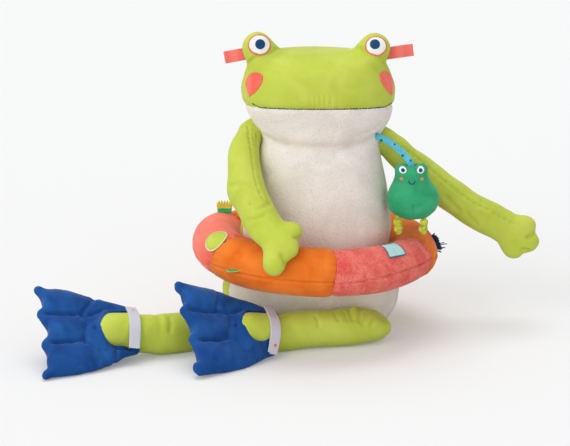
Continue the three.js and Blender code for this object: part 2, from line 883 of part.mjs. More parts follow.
// A webbed blade with padded lobes between its channels, widening to its toes
function flipperBlade() {
  const { smoothstep } = THREE.MathUtils;
  const columns = flipperLobes * lobeColumns;
  const face = (side) =>
    Array.from({ length: bladeRows + 1 }, (_, r) =>
      Array.from({ length: columns + 1 }, (_, c) => {
        const along = r / bladeRows;
        const across = c / columns;
        const lobe = Math.sin(Math.PI * ((across * flipperLobes) % 1)) ** 2;
        const web = flipperWeb * lobe;
        const bow = flipperBow * Math.sin(Math.PI * along);
        const pad = flipperPad * Math.sqrt(lobe) * smoothstep(along, padStartShare, padFullShare);
        const tapered = pad * (1 - toeThinShare * smoothstep(along, toeThinFromShare, 1));
        const fromEdge = Math.min(1, Math.min(across, 1 - across) / edgeRollShare);
        const edge = mix(edgeThinShare, 1, fromEdge);
        const half = mix(flipperHeelThickness, flipperToeThickness, along) / 2;
        return v(
          mix(heelSet, flipperLength - web, along),
          (mix(flipperHeelWidth, flipperToeWidth, along) + bow) * (across - 1 / 2),
          side * (half * edge + tapered / 2),
        );
      }),
    );
  return sheet(face(1), face(-1));
}

// A round-ended sleeve along +X, from a start to the centre of its end
function sleeve(radius, start, end) {
  const round = (x, size) => oval(v(x, 0, 0), v(0, 1, 0), v(0, 0, 1), size, size, limbPoints);
  const tip = tipAngles(bumpSteps).map((angle) =>
    round(end + radius * Math.sin(angle), radius * Math.cos(angle)),
  );
  return loft([round(start, radius), round(end, radius), ...tip]);
}

// One flipper in its own frame: the blade, the shoe round the foot up to the strap, and the oval
// that shows the foot
function flipper() {
  const cavity = footRadius + shoeClearance;
  const outer = cavity + shoeWall;
  const shoe = sleeve(outer, strapPlace, footReach).subtract(heelStrap(seamGap, shoeWall));
  const opening = loft(
    [flipperHeelThickness * openingFloorShare, outer + overrun].map((height) =>
      oval(
        v(footReach * openingPlaceShare, openingAcross, height),
        v(1, 0, 0),
        v(0, 1, 0),
        openingHalfLength,
        openingHalfWidth,
        limbPoints,
      ),
    ),
  );
  const open = flipperBlade()
    .add(shoe)
    .subtract(sleeve(cavity, -overrun, footReach))
    .subtract(opening);
  return largest(open);
}

// The elastic heel strap: from the blade's upper face at each corner and round over the foot. The
// room it takes up is the same form, grown by a gap all round and by more on its outer side.
function heelStrap(gap = 0, cover = 0) {
  const foot = flipperHeelThickness / 2 + seamGap - gap;
  const path = (radius, end) => {
    const lean = Math.atan2(foot, end) + Math.acos(radius / Math.hypot(end, foot));
    const points = [new THREE.Vector2(end, foot)];
    for (let k = 0; k <= strapSteps; k += 1) {
      const angle = mix(lean, Math.PI - lean, k / strapSteps);
      points.push(new THREE.Vector2(radius * Math.cos(angle), radius * Math.sin(angle)));
    }
    points.push(new THREE.Vector2(-end, foot));
    return points;
  };
  const inner = footRadius + shoeClearance - gap;
  const outer = footRadius + shoeClearance + strapThickness + cover;
  const corner = flipperHeelWidth / 2 - strapThickness;
  const outline = [...path(outer, corner + outer - inner), ...path(inner, corner).reverse()];
  const width = strapWidth + 2 * gap;
  const band = placed(slab(outline, width), v(-width / 2, 0, 0), v(0, 1, 0), v(0, 0, 1));
  return band.rotate([0, 0, -strapSlant]).translate([strapPlace, 0, 0]);
}

// A leg that lies on the ground from its hip ball and ends straight inside its flipper
function leg(hip, bendShares, frame) {
  const facing = v(0, 0, 1);
  const stop = (at, radius) => ({ at, wide: radius, thick: radius, facing });
  const bends = bendShares.map((shares) => stop(alongLeg(hip, shares), legRadius));
  const foot = [-footStraight, footReach].map((x) =>
    stop(v(x, 0, 0).applyMatrix4(frame), footRadius),
  );
  const form = limb([stop(hip, legRadius - seamGap), ...bends, ...foot], legSteps);
  return form.trimByPlane([0, 0, 1], 0);
}

function alongLeg(hip, shares) {
  return hip.clone().addScaledVector(v(...shares), legLength);
}

function buildLegsAndFlippers() {
  const bare = flipper();
  const strap = heelStrap();
  Object.entries(legPlaces).forEach(([name, place]) => {
    const start = v(place.hip * torsoHalfWidth, 0, legRadius - restCut);
    const hip = seatBall(start, v(0, -1, 0), legRadius - seamGap);
    const frame = flipperFrame(alongLeg(hip, place.heelShares), place.flipper);
    addPiece(`leg_${name}`, leg(hip, place.bendShares, frame), 'lime');
    addPiece(`flipper_${name}`, placedBy(bare, frame), 'blue');
    addPiece(`flipper_strap_${name}`, placedBy(strap, frame), 'white');
  });
}

// A point on the ring: its angle round from the front, its angle up from the outer side
function ringPoint(round, up, radius = ringTube) {
  const a = radians(round);
  const b = radians(up);
  const reach = ringRadius + radius * Math.cos(b);
  return v(reach * Math.sin(a), -reach * Math.cos(a), radius * Math.sin(b));
}

// One stuffed panel of the ring between two seams, drawn in at each seam
function ringPanel(from, to) {
  const steps = Math.round((to - from) / ringStepAngle);
  const gapAngle = THREE.MathUtils.radToDeg(seamGap / 2 / (ringRadius - ringTube));
  return loft(
    Array.from({ length: steps + 1 }, (_, k) => {
      const round = mix(from + gapAngle, to - gapAngle, k / steps);
      const a = radians(round);
      const radius = ringTube - ringPucker * Math.abs((2 * k) / steps - 1) ** ringPuckerPower;
      const across = v(Math.sin(a), -Math.cos(a), 0);
      const centre = across.clone().multiplyScalar(ringRadius);
      return oval(centre, across, v(0, 0, 1), radius, radius, ringPoints);
    }),
  );
}

// A thin patch that follows the ring, from a table of its corners' places
function ringPatch(rows, columns, place, lift, thickness) {
  const grid = (height) =>
    Array.from({ length: rows + 1 }, (_, r) =>
      Array.from({ length: columns + 1 }, (_, c) => {
        const [round, up] = place(r / rows, c / columns);
        return ringPoint(round, up, ringTube + height);
      }),
    );
  return sheet(grid(lift + thickness), grid(lift));
}

function buildRing() {
  const cloth = ['orange', 'coral', 'orange', 'coral', 'orange', 'coral'];
  const names = ['front_left', 'front', 'right', 'back_right', 'back_left', 'left'];
  ringSeamAngles.forEach((from, k) => {
    const to = ringSeamAngles[k + 1] ?? ringSeamAngles[0] + 360;
    addPiece(`ring_panel_${names[k]}`, placedBy(ringPanel(from, to), ringFrame), cloth[k]);
  });
}

// Patches and tags sewn to the ring
function buildRingTrim() {
  const labelPlace = (r, c) => [mix(...labelRound, c), mix(...labelUp, r)];
  const label = ringPatch(patchRows, patchRows, labelPlace, patchLift, patchLayer);
  addPiece('ring_label', onRing(label), 'white');
  const motifPlace = (r, c) => {
    const height = motifTipShare * mix(-1, 1, r);
    const width = Math.sqrt(1 - height ** 2) * c;
    const roundAngle = THREE.MathUtils.radToDeg(motifRadius / (ringRadius + ringTube));
    const upAngle = THREE.MathUtils.radToDeg(motifRadius / ringTube);
    return [motifRound - width * roundAngle, motifUp + height * upAngle];
  };
  const motif = ringPatch(patchRows, capSteps, motifPlace, patchLift, patchLayer);
  addPiece('ring_motif', onRing(motif), 'lime');
  buildLeafTab();
  buildCombTag();
  buildFringe();
}

function onRing(solid) {
  return placedBy(solid, ringFrame);
}

// A half-round tab that sticks out of the ring's outer side
function buildLeafTab() {
  const at = ringPoint(leafRound, leafUp, ringTube - leafReach);
  const round = radians(leafRound);
  const outward = ringPoint(leafRound, leafUp).sub(ringPoint(leafRound, leafUp, 0));
  const outline = Array.from({ length: patchPoints + 1 }, (_, k) => {
    const angle = (Math.PI * k) / patchPoints;
    return new THREE.Vector2((leafWidth / 2) * Math.cos(angle), 2 * leafReach * Math.sin(angle));
  });
  const tangent = v(Math.cos(round), Math.sin(round), 0);
  const leaf = placed(slab(outline, ribbonThickness), at, tangent, outward);
  addPiece('leaf_tab', onRing(largest(leaf.subtract(ringCutter))), 'green');
}

// A woven tag that stands on top of the ring, its upper edge cut into teeth
function buildCombTag() {
  const at = ringPoint(combRound, 90);
  const half = combWidth / 2;
  const upright = (outline) => placed(slab(outline, ribbonThickness), at, v(1, 0, 0), v(0, 0, 1));
  const band = upright(box(-half, half, -combBand, combBand)).subtract(ringCutter);
  addPiece('comb_tag_band', onRing(largest(band)), 'green');
  const edge = (place) => mix(half, -half, place / combTeeth);
  const low = combBand + seamGap;
  const outline = [new THREE.Vector2(half, low)];
  for (let k = 0; k < combTeeth; k += 1) {
    const to = edge(k + combToothShare);
    outline.push(new THREE.Vector2(edge(k), combHeight), new THREE.Vector2(to, combHeight));
    if (k + 1 < combTeeth) {
      outline.push(new THREE.Vector2(to, combHeight - combTooth));
      outline.push(new THREE.Vector2(edge(k + 1), combHeight - combTooth));
    }
  }
  outline.push(new THREE.Vector2(edge(combTeeth - 1 + combToothShare), low));
  addPiece('comb_tag', onRing(upright(outline)), 'yellow');
}

// A short fringe on the outer side of the ring, with longer threads at its lower end
function buildFringe() {
  const polar = (radius, angle) =>
    new THREE.Vector2(
      ringRadius + radius * Math.cos(radians(angle)),
      radius * Math.sin(radians(angle)),
    );
  const inner = ringTube + seamGap;
  const steps = (fringeTeeth + fringeThreads) * 2;
  const tips = Array.from({ length: steps + 1 }, (_, k) => {
    const long = k > fringeTeeth * 2 ? fringeThread : fringeTooth;
    return polar(inner + (k % 2 ? long : fringeRoot), mix(fringeUpTo, fringeUpFrom, k / steps));
  });
  const root = Array.from({ length: steps / 2 + 1 }, (_, k) =>
    polar(inner, mix(fringeUpFrom, fringeUpTo, (2 * k) / steps)),
  );
  const plate = slab([...tips, ...root], fringeThickness);
  addPiece('fringe', onRing(placed(plate, v(0, 0, 0), v(1, 0, 0), v(0, 0, 1))), 'navy');
}

// The hanging toy, a pear with two eye bumps
function toyForm(grow = 0) {
  const bottom = toyTop - toyHeight;
  const sections = toyShares.map(([up, wide, deep, lean]) =>
    oval(
      v(toyMiddle + lean * toyHalfWidth, toyDepth, bottom + up * toyHeight),
      v(1, 0, 0),
      v(0, 1, 0),
      wide * toyHalfWidth + grow,
      deep * toyHalfDepth + grow,
      toyPoints,
      toySquareness,
    ),
  );
  return [1, -1].reduce((solid, side) => {
    const ball = new THREE.SphereGeometry(toyEyeRadius + grow, toyPoints, toyPoints / 2);
    const x = toyMiddle + toyHeadLean + (side * toyBumpSpacing) / 2;
    ball.translate(x, toyDepth, toyTop - toyEyeRadius);
    return solid.add(solidFrom(ball));
  }, loft(sections));
}

// A round patch on the front of the toy, as a layer of the given number
function toyDot(x, height, radius, layer) {
  const geometry = new THREE.CylinderGeometry(radius, radius, toyHalfDepth * 2, patchPoints);
  geometry.translate(x, toyDepth - toyHalfDepth, height);
  const low = layer * (seamGap + patchLayer) + seamGap;
  return solidFrom(geometry)
    .intersect(toyForm(low + patchLayer))
    .subtract(toyForm(low));
}

// A flat ribbon along a smooth path
function ribbon(points, facing, width, thickness) {
  const curve = new THREE.CatmullRomCurve3(points, false, 'centripetal');
  return loft(
    Array.from({ length: strapSteps + 1 }, (_, k) => {
      const at = curve.getPoint(k / strapSteps);
      const tangent = curve.getTangent(k / strapSteps);
      const across = v(0, 0, 0).crossVectors(facing, tangent).normalize();
      const out = v(0, 0, 0).crossVectors(tangent, across);
      return box(-width / 2, width / 2, -thickness / 2, thickness / 2).map((corner) =>
        at.clone().addScaledVector(across, corner.x).addScaledVector(out, corner.y),
      );
    }),
  );
}

// The toy with its face, its two knotted feet and the strap it hangs from
function buildToy() {
  const clear = toyForm(seamGap);
  addPiece('toy_body', toyForm(), 'green');
  const face = toyMiddle + toyHeadLean;
  const eyeHeight = toyTop - toyEyeDrop;
  [1, -1].forEach((side) => {
    const name = side > 0 ? 'left' : 'right';
    const eyeX = face + (side * toyEyeSpacing) / 2;
    const cheekX = face + (side * toyBumpSpacing) / 2;
    addPiece(`toy_eye_white_${name}`, toyDot(eyeX, eyeHeight, toyWhiteRadius, 0), 'white');
    addPiece(`toy_pupil_${name}`, toyDot(eyeX, eyeHeight, toyPupilRadius, 1), 'navy');
    const cheek = toyDot(cheekX, eyeHeight - toyCheekDrop, toyCheekRadius, 0);
    addPiece(`toy_cheek_${name}`, cheek, 'coral');
    const foot = toyFootShares.map(([across, along, up, size]) => ({
      at: v(
        toyMiddle + side * across * toyHalfWidth,
        toyDepth + along * toyHalfDepth,
        toyTop - toyHeight + up * toyHeight,
      ),
      wide: size * toyKnotRadius,
      thick: size * toyKnotRadius,
      facing: v(0, -1, 0),
    }));
    const knot = limb(foot, toyCordSteps, toyCordPoints, tipRows).subtract(clear);
    addPiece(`toy_foot_${name}`, largest(knot), 'yellow');
  });
  const [across, forward] = strapRootShares;
  const root = v(across * torsoHalfWidth, forward * torsoHalfDepth, torsoHeight + strapRootRise);
  const way = v(face, toyDepth, toyTop - toyEyeRadius).sub(root);
  const route = strapPathShares.map((shares) => root.clone().add(v(...shares).multiply(way)));
  const strap = ribbon(route, v(0, -1, 0), toyStrapWidth, ribbonThickness);
  addPiece('toy_strap', largest(strap.subtract(figureClear).subtract(clear)), 'turquoise');
}

buildTorsoAndHead();
buildMouth();
const eyeBumps = buildEyes();
buildTags(eyeBumps);
buildCheeks();
buildArms();
buildLegsAndFlippers();
buildRing();
buildRingTrim();
buildToy();

export default frog;
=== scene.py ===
"""Looks of a sitting plush frog with a swim ring, two webbed flippers and a small hanging toy.

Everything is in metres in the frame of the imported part: -Y is where the frog faces, +Z is up.
Only the rows made by crease() and nudge() are in millimetres. Left and right are the frog's own.
"""

import json
import logging
import math
from dataclasses import dataclass
from enum import Enum
from functools import partial
from typing import Callable, Iterable, Sequence

import bmesh
import bpy
import numpy as np
from mathutils import Matrix, Vector
from mathutils.bvhtree import BVHTree

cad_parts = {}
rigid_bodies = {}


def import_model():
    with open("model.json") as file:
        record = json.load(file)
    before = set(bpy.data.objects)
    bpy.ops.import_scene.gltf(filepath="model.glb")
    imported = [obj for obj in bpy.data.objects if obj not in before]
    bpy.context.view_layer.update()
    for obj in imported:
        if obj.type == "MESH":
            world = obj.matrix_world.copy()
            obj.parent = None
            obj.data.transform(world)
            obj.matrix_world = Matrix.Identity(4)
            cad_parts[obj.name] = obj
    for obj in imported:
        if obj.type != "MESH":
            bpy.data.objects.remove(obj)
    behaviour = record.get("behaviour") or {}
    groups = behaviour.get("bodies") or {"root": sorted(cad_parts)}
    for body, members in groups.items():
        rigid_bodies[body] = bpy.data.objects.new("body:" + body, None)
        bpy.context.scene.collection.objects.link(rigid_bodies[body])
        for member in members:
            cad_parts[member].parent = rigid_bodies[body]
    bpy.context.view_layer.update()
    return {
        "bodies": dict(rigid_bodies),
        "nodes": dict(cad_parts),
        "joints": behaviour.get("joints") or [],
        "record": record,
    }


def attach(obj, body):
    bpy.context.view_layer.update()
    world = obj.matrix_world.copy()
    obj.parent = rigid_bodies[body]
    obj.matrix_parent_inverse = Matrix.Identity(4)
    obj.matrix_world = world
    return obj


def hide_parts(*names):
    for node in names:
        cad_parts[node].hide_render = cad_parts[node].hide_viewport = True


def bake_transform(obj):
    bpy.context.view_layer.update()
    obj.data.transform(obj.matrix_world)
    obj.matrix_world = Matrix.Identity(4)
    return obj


log = logging.getLogger("frog")

Colour = tuple[float, float, float, float]
Face = tuple[int, ...]
Pair = tuple[float, float]
Point = tuple[float, float, float]
Edge = list[tuple[Vector, Vector]]
Line = tuple[list[Vector], list[Vector]]

SIDES = {"left": 1.0, "right": -1.0}
UP = Vector((0, 0, 1))
FRONT = Vector((0, -1, 0))
WELD = 1e-5
RAY_START = 0.3
RELAX_SHARE = 0.5


def srgb(code: str) -> Colour:
    """Turn a hex colour into a linear one.

    Args:
        code: Six hex digits.

    Returns:
        Linear red, green and blue, and an alpha of one.
    """
    parts = [int(code[i : i + 2], 16) / 255 for i in (0, 2, 4)]
    linear = [p / 12.92 if p <= 0.04045 else ((p + 0.055) / 1.055) ** 2.4 for p in parts]
    return (linear[0], linear[1], linear[2], 1.0)


# ---- Finishes ----


class Pattern(Enum):
    """How a cloth's surface is made."""

    VELOUR = "velour_pile"
    TERRY = "terry_loops"
    WEAVE = "ribbon_weave"
    THREAD = "twisted_thread"


class Wiring:
    """Adds nodes to one tree and joins them."""

    def __init__(self, tree: bpy.types.NodeTree) -> None:
        """Keep the tree that nodes are added to."""
        self.tree = tree

    def add(self, kind: str, inputs: dict | None = None, **settings: object) -> bpy.types.Node:
        """Add a node.

        Args:
            kind: The node's type.
            inputs: Values or sockets by input name or number.
            settings: The node's own properties.

        Returns:
            The new node.
        """
        node = self.tree.nodes.new(kind)
        for key, value in settings.items():
            setattr(node, key, value)
        for key, value in (inputs or {}).items():
            if isinstance(value, bpy.types.NodeSocket):
                self.tree.links.new(value, node.inputs[key])
            else:
                node.inputs[key].default_value = value
        return node

    def maths(self, operation: str, first: object, second: object = 0.0) -> bpy.types.NodeSocket:
        """Join two values or sockets with a maths node and return what it puts out."""
        return self.add("ShaderNodeMath", {0: first, 1: second}, operation=operation).outputs[0]


def pattern_group(pattern: Pattern) -> bpy.types.NodeTree:
    """Build the node group of a pattern, once.

    Args:
        pattern: The surface to build.

    Returns:
        A group with the inputs Patch Scale and Fibre Scale and the outputs Tone and Height; the
        tone is painted darker in the fibres' hollows, as painted shade.
    """
    if pattern.value in bpy.data.node_groups:
        return bpy.data.node_groups[pattern.value]
    tree = bpy.data.node_groups.new(pattern.value, "ShaderNodeTree")
    for label in ("Patch Scale", "Fibre Scale"):
        tree.interface.new_socket(label, in_out="INPUT", socket_type="NodeSocketFloat")
    for label in ("Tone", "Height"):
        tree.interface.new_socket(label, in_out="OUTPUT", socket_type="NodeSocketFloat")
    w = Wiring(tree)
    given = w.add("NodeGroupInput")
    place = w.add("ShaderNodeTexCoord")
    coord = place.outputs["UV" if pattern is Pattern.WEAVE else "Object"]
    patch = w.add(
        "ShaderNodeTexNoise",
        {"Vector": coord, "Scale": given.outputs["Patch Scale"], "Detail": 3.0, "Distortion": 0.7},
    ).outputs[0]
    scale = given.outputs["Fibre Scale"]
    if pattern is Pattern.TERRY:
        loops = w.add("ShaderNodeTexVoronoi", {"Vector": coord, "Scale": scale}).outputs["Distance"]
        fine = w.maths("SUBTRACT", 1.0, loops)
    elif pattern is Pattern.WEAVE:
        bands = [
            w.add("ShaderNodeTexWave", {"Vector": coord, "Scale": scale}, bands_direction=axis)
            for axis in ("X", "Y")
        ]
        fine = w.maths("MAXIMUM", bands[0].outputs["Fac"], bands[1].outputs["Fac"])
    elif pattern is Pattern.THREAD:
        fine = w.add(
            "ShaderNodeTexWave", {"Vector": coord, "Scale": scale}, bands_direction="DIAGONAL"
        ).outputs["Fac"]
    else:
        fine = w.add(
            "ShaderNodeTexNoise", {"Vector": coord, "Scale": scale, "Detail": 2.0}
        ).outputs[0]
    # The tone mixes random patches with the fibres' height, so the cloth is painted darker in the
    # hollows between loops, threads and fibres: painted shade.
    tone = w.maths(
        "ADD", w.maths("MULTIPLY", patch, 0.72), w.maths("MULTIPLY", fine, 0.28)
    )
    w.add("NodeGroupOutput", {"Tone": tone, "Height": fine})
    return tree


@dataclass(frozen=True)
class Finish:
    """A cloth: its dark and light colours, laid by random patches and by painted shade in the
    fibres' hollows, its pattern and how it takes light.
    """

    name: str
    slot: str
    dark: str
    light: str
    pattern: Pattern = Pattern.VELOUR
    patch: float = 26.0
    fibre: float = 900.0
    bump: float = 0.35
    depth: float = 0.0006
    roughness: float = 0.92
    sheen: float = 0.25
    low: float = 0.32
    high: float = 0.66

    def material(self) -> bpy.types.Material:
        """Build the material, once, and return it."""
        if self.name in bpy.data.materials:
            return bpy.data.materials[self.name]
        made = bpy.data.materials.new(self.name)
        made.use_nodes = True
        w = Wiring(made.node_tree)
        pattern = w.add(
            "ShaderNodeGroup",
            {"Patch Scale": self.patch, "Fibre Scale": self.fibre},
            node_tree=pattern_group(self.pattern),
        )
        # The ramp colours the tone: random patches, and painted shade where the fibres dip.
        ramp = w.add("ShaderNodeValToRGB", {"Fac": pattern.outputs["Tone"]})
        ends = ramp.color_ramp.elements
        ends[0].position, ends[1].position = self.low, self.high
        ends[0].color, ends[1].color = srgb(self.dark), srgb(self.light)
        bump = w.add(
            "ShaderNodeBump",
            {
                "Height": pattern.outputs["Height"],
                "Strength": self.bump,
                "Distance": self.depth,
            },
        )
        shader = made.node_tree.nodes["Principled BSDF"]
        shader.inputs["Roughness"].default_value = self.roughness
        shader.inputs["Sheen Weight"].default_value = self.sheen
        shader.inputs["Sheen Roughness"].default_value = 0.35
        shader.inputs["Specular IOR Level"].default_value = 0.15
        made.node_tree.links.new(ramp.outputs[0], shader.inputs["Base Color"])
        made.node_tree.links.new(bump.outputs[0], shader.inputs["Normal"])
        return made


terry = partial(Finish, pattern=Pattern.TERRY, fibre=420.0, sheen=0.1)
short_pile = partial(Finish, fibre=1500.0)
ribbon = partial(
    Finish, pattern=Pattern.WEAVE, patch=60.0, fibre=500.0, bump=0.3, depth=0.0002,
    roughness=0.6, sheen=0.1,
)
thread = partial(
    Finish, pattern=Pattern.THREAD, patch=80.0, bump=0.4, depth=0.0003, roughness=0.6, sheen=0.1
)
cord = partial(Finish, pattern=Pattern.THREAD, patch=60.0, fibre=500.0, roughness=0.8, sheen=0.15)

LIME = Finish("lime_velour", "lime", "b3c33a", "cad562", low=0.24, high=0.78)
CORAL = Finish("coral_velour", "coral", "ee6353", "fb8371")
ORANGE = Finish("orange_velour", "orange", "dc6312", "ef8230", sheen=0.15)
BLUE = Finish("blue_velour", "blue", "0d3a7e", "22589c")
CREAM = terry(
    "cream_terry", "cream", "ded5cc", "f3ece5", patch=18.0, bump=0.6, depth=0.0014, roughness=0.96
)
CORAL_TERRY = terry(
    "coral_terry", "coral", "e4524d", "ff8b7b", patch=44.0, bump=1.0, depth=0.0018, roughness=0.95
)
BLUSH = short_pile("blush_velour", "coral", "d67a6c", "e59a8a", bump=0.15)
GREEN = short_pile("green_velour", "green", "228c5c", "46b682", patch=34.0, low=0.22, high=0.78)
WHITE = short_pile("white_patch", "white", "ecebe9", "f7f6f4", bump=0.15)
NAVY = short_pile("navy_patch", "navy", "173f66", "24527c", bump=0.2)
LABEL = Finish(
    "label_weave", "white", "9fd0d6", "c9e6e4", patch=60.0, fibre=1300.0, bump=0.2, depth=0.0003,
    roughness=0.6, sheen=0.1,
)
PALE = ribbon(
    "white_elastic", "white", "c9c8d2", "e6e5ec", patch=40.0, fibre=420.0, bump=0.5, depth=0.0003,
    roughness=0.7,
)
CORAL_RIBBON = ribbon("coral_ribbon", "coral", "ec5e54", "f98074", roughness=0.5)
GREEN_RIBBON = ribbon("green_ribbon", "green", "1f9c5c", "48c583")
TURQUOISE = ribbon(
    "turquoise_ribbon", "turquoise", "3aa0c0", "66c2d6", patch=90.0, fibre=600.0, roughness=0.42
)
TEAL = Finish("teal_spot", "turquoise", "13707f", "1f8a99", Pattern.WEAVE, 90.0, 600.0, 0.2)
NAVY_THREAD = thread("navy_thread", "navy", "17304f", "2c4a70", roughness=0.7)
FOREST_THREAD = thread("forest_thread", "forest", "1c3a2a", "2f5a44", roughness=0.7)
CORAL_THREAD = thread("coral_thread", "coral", "e8604a", "f98a70")
LIME_THREAD = thread("lime_thread", "lime", "9ab63a", "cfe07a")
LABEL_THREAD = thread("label_thread", "navy", "27688c", "3f86a6")
PALE_THREAD = thread("pale_thread", "lime", "d5dba0", "eef0c8")
GREY_THREAD = thread("grey_thread", "white", "b9c4c4", "dfe5e5", bump=0.3)
YELLOW = cord("yellow_loop", "yellow", "e6d63c", "f8ee84", bump=0.4, depth=0.0003)
CORD = cord("lime_cord", "yellow", "b6bc2e", "dde05a", bump=0.6, depth=0.0005)


# ---- Shaping ----


def link(name: str, mesh: bpy.types.Mesh) -> bpy.types.Object:
    """Put a mesh in the scene as an object and return the object."""
    made = bpy.data.objects.new(name, mesh)
    bpy.context.scene.collection.objects.link(made)
    return made


def mesh_of(name: str, points: Iterable[Sequence[float]], faces: list[Face]) -> bpy.types.Mesh:
    """Make a smooth mesh of points and faces with its normals out.

    Args:
        name: The mesh's name.
        points: Places in metres.
        faces: Corner numbers of each face.

    Returns:
        The mesh.
    """
    mesh = bpy.data.meshes.new(name)
    mesh.from_pydata([tuple(p) for p in points], [], faces)
    shape = bmesh.new()
    shape.from_mesh(mesh)
    bmesh.ops.recalc_face_normals(shape, faces=shape.faces)
    shape.to_mesh(mesh)
    shape.free()
    mesh.polygons.foreach_set("use_smooth", [True] * len(mesh.polygons))
    return mesh


def baked(obj: bpy.types.Object) -> bpy.types.Object:
    """Apply an object's modifiers to its mesh and take them off, and return the object."""
    graph = bpy.context.evaluated_depsgraph_get()
    mesh = bpy.data.meshes.new_from_object(obj.evaluated_get(graph))
    obj.modifiers.clear()
    obj.data = mesh
    return obj


def joined(name: str, parts: Iterable[bpy.types.Mesh]) -> bpy.types.Mesh:
    """Put several meshes into one."""
    shape = bmesh.new()
    for part in parts:
        shape.from_mesh(part)
    mesh = bpy.data.meshes.new(name)
    shape.to_mesh(mesh)
    shape.free()
    return mesh


def tree_of(mesh: bpy.types.Mesh) -> BVHTree:
    """A tree that finds places on a mesh."""
    points = [vert.co for vert in mesh.vertices]
    return BVHTree.FromPolygons(points, [tuple(face.vertices) for face in mesh.polygons])


def tube_faces(rows: int, count: int) -> list[Face]:
    """Faces of a closed tube.

    Args:
        rows: How many rings of points it has.
        count: Points in a ring.

    Returns:
        The faces between the rings, and after them one at each end.
    """
    made: list[Face] = []
    for k in range(rows - 1):
        for j in range(count):
            a, b = k * count + j, k * count + (j + 1) % count
            made.append((a, b, b + count, a + count))
    last = (rows - 1) * count
    return [*made, tuple(range(count - 1, -1, -1)), tuple(range(last, last + count))]


def settle(obj: bpy.types.Object, body: str, *nodes: str) -> bpy.types.Object:
    """Make a finished piece ride on a body and stand for solids.

    Args:
        obj: The piece.
        body: The body it moves with.
        nodes: The solids it stands for.

    Returns:
        The piece.
    """
    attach(obj, body)
    if nodes:
        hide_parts(*nodes)
    log.info("%s rides on %s, %d faces", obj.name, body, len(obj.data.polygons))
    return obj


def piece(
    name: str, mesh: bpy.types.Mesh, finish: Finish, body: str, *nodes: str
) -> bpy.types.Object:
    """Clad a mesh in one cloth and settle it on a body.

    Args:
        name: The piece's name.
        mesh: Its mesh.
        finish: Its cloth.
        body: The body it moves with.
        nodes: The solids it stands for.

    Returns:
        The piece.
    """
    obj = link(name, mesh)
    mesh.materials.append(finish.material())
    return settle(obj, body, *nodes)


@dataclass(frozen=True)
class Crease:
    """A drawn-in line on a skin, between points near the surface."""

    path: tuple[Point, ...]
    depth: float
    width: float
    pucker: float = 0.0
    pitch: float = 0.007

    def offset(self, points: np.ndarray, tree: BVHTree) -> np.ndarray:
        """How far each point moves along its normal.

        Args:
            points: Places in metres.
            tree: The skin that the line is laid on.

        Returns:
            One distance a point, below zero where the cloth is drawn in.
        """
        path = [tree.find_nearest(place)[0] for place in smooth_path(self.path, 4)]
        best = np.full(len(points), np.inf)
        along = np.zeros(len(points))
        run = 0.0
        for a, b in zip(path, path[1:]):
            start, way = np.array(a), np.array(b) - np.array(a)
            length = max(float(np.linalg.norm(way)), WELD)
            share = np.clip((points - start) @ way / length**2, 0, 1)
            gap = np.linalg.norm(points - start - share[:, None] * way, axis=1)
            nearer = gap < best
            best[nearer] = gap[nearer]
            along[nearer] = run + share[nearer] * length
            run += length
        wave = 1 + self.pucker * np.sin(2 * np.pi * along / self.pitch)
        valley = np.exp(-((best / self.width) ** 2)) * wave
        shoulder = np.exp(-(((best - 2.4 * self.width) / (1.3 * self.width)) ** 2))
        return self.depth * (0.22 * shoulder - valley)


@dataclass(frozen=True)
class Nudge:
    """A soft shift of the cloth round a place."""

    at: Point
    move: Point
    reach: float


def metres(place: Point) -> Point:
    """Turn a place in millimetres into metres."""
    x, y, z = place
    return (x / 1000, y / 1000, z / 1000)


def crease(
    depth: float, width: float, *stops: Point, pucker: float = 0.0, pitch: float = 7.0
) -> Crease:
    """Make a crease of sizes and places in millimetres.

    Args:
        depth: How far the cloth is drawn in.
        width: Half the width of the valley.
        stops: Places that the line passes.
        pucker: Share of the depth that comes and goes along the line.
        pitch: Distance between puckers.

    Returns:
        The crease.
    """
    path = tuple(metres(stop) for stop in stops)
    return Crease(path, depth / 1000, width / 1000, pucker, pitch / 1000)


def nudge(at: Point, move: Point, reach: float) -> Nudge:
    """Make a nudge of a place, a shift and a reach in millimetres."""
    return Nudge(metres(at), metres(move), reach / 1000)


@dataclass(frozen=True)
class Filling:
    """How the stuffing blows up a cover: a cloth simulation that its seams hold back."""

    voxel: float = 0.005
    pressure: float = 4.0
    cap: float = 0.0024
    shrink: float = 0.0004
    frames: int = 20
    held: Callable[[np.ndarray], np.ndarray] | None = None


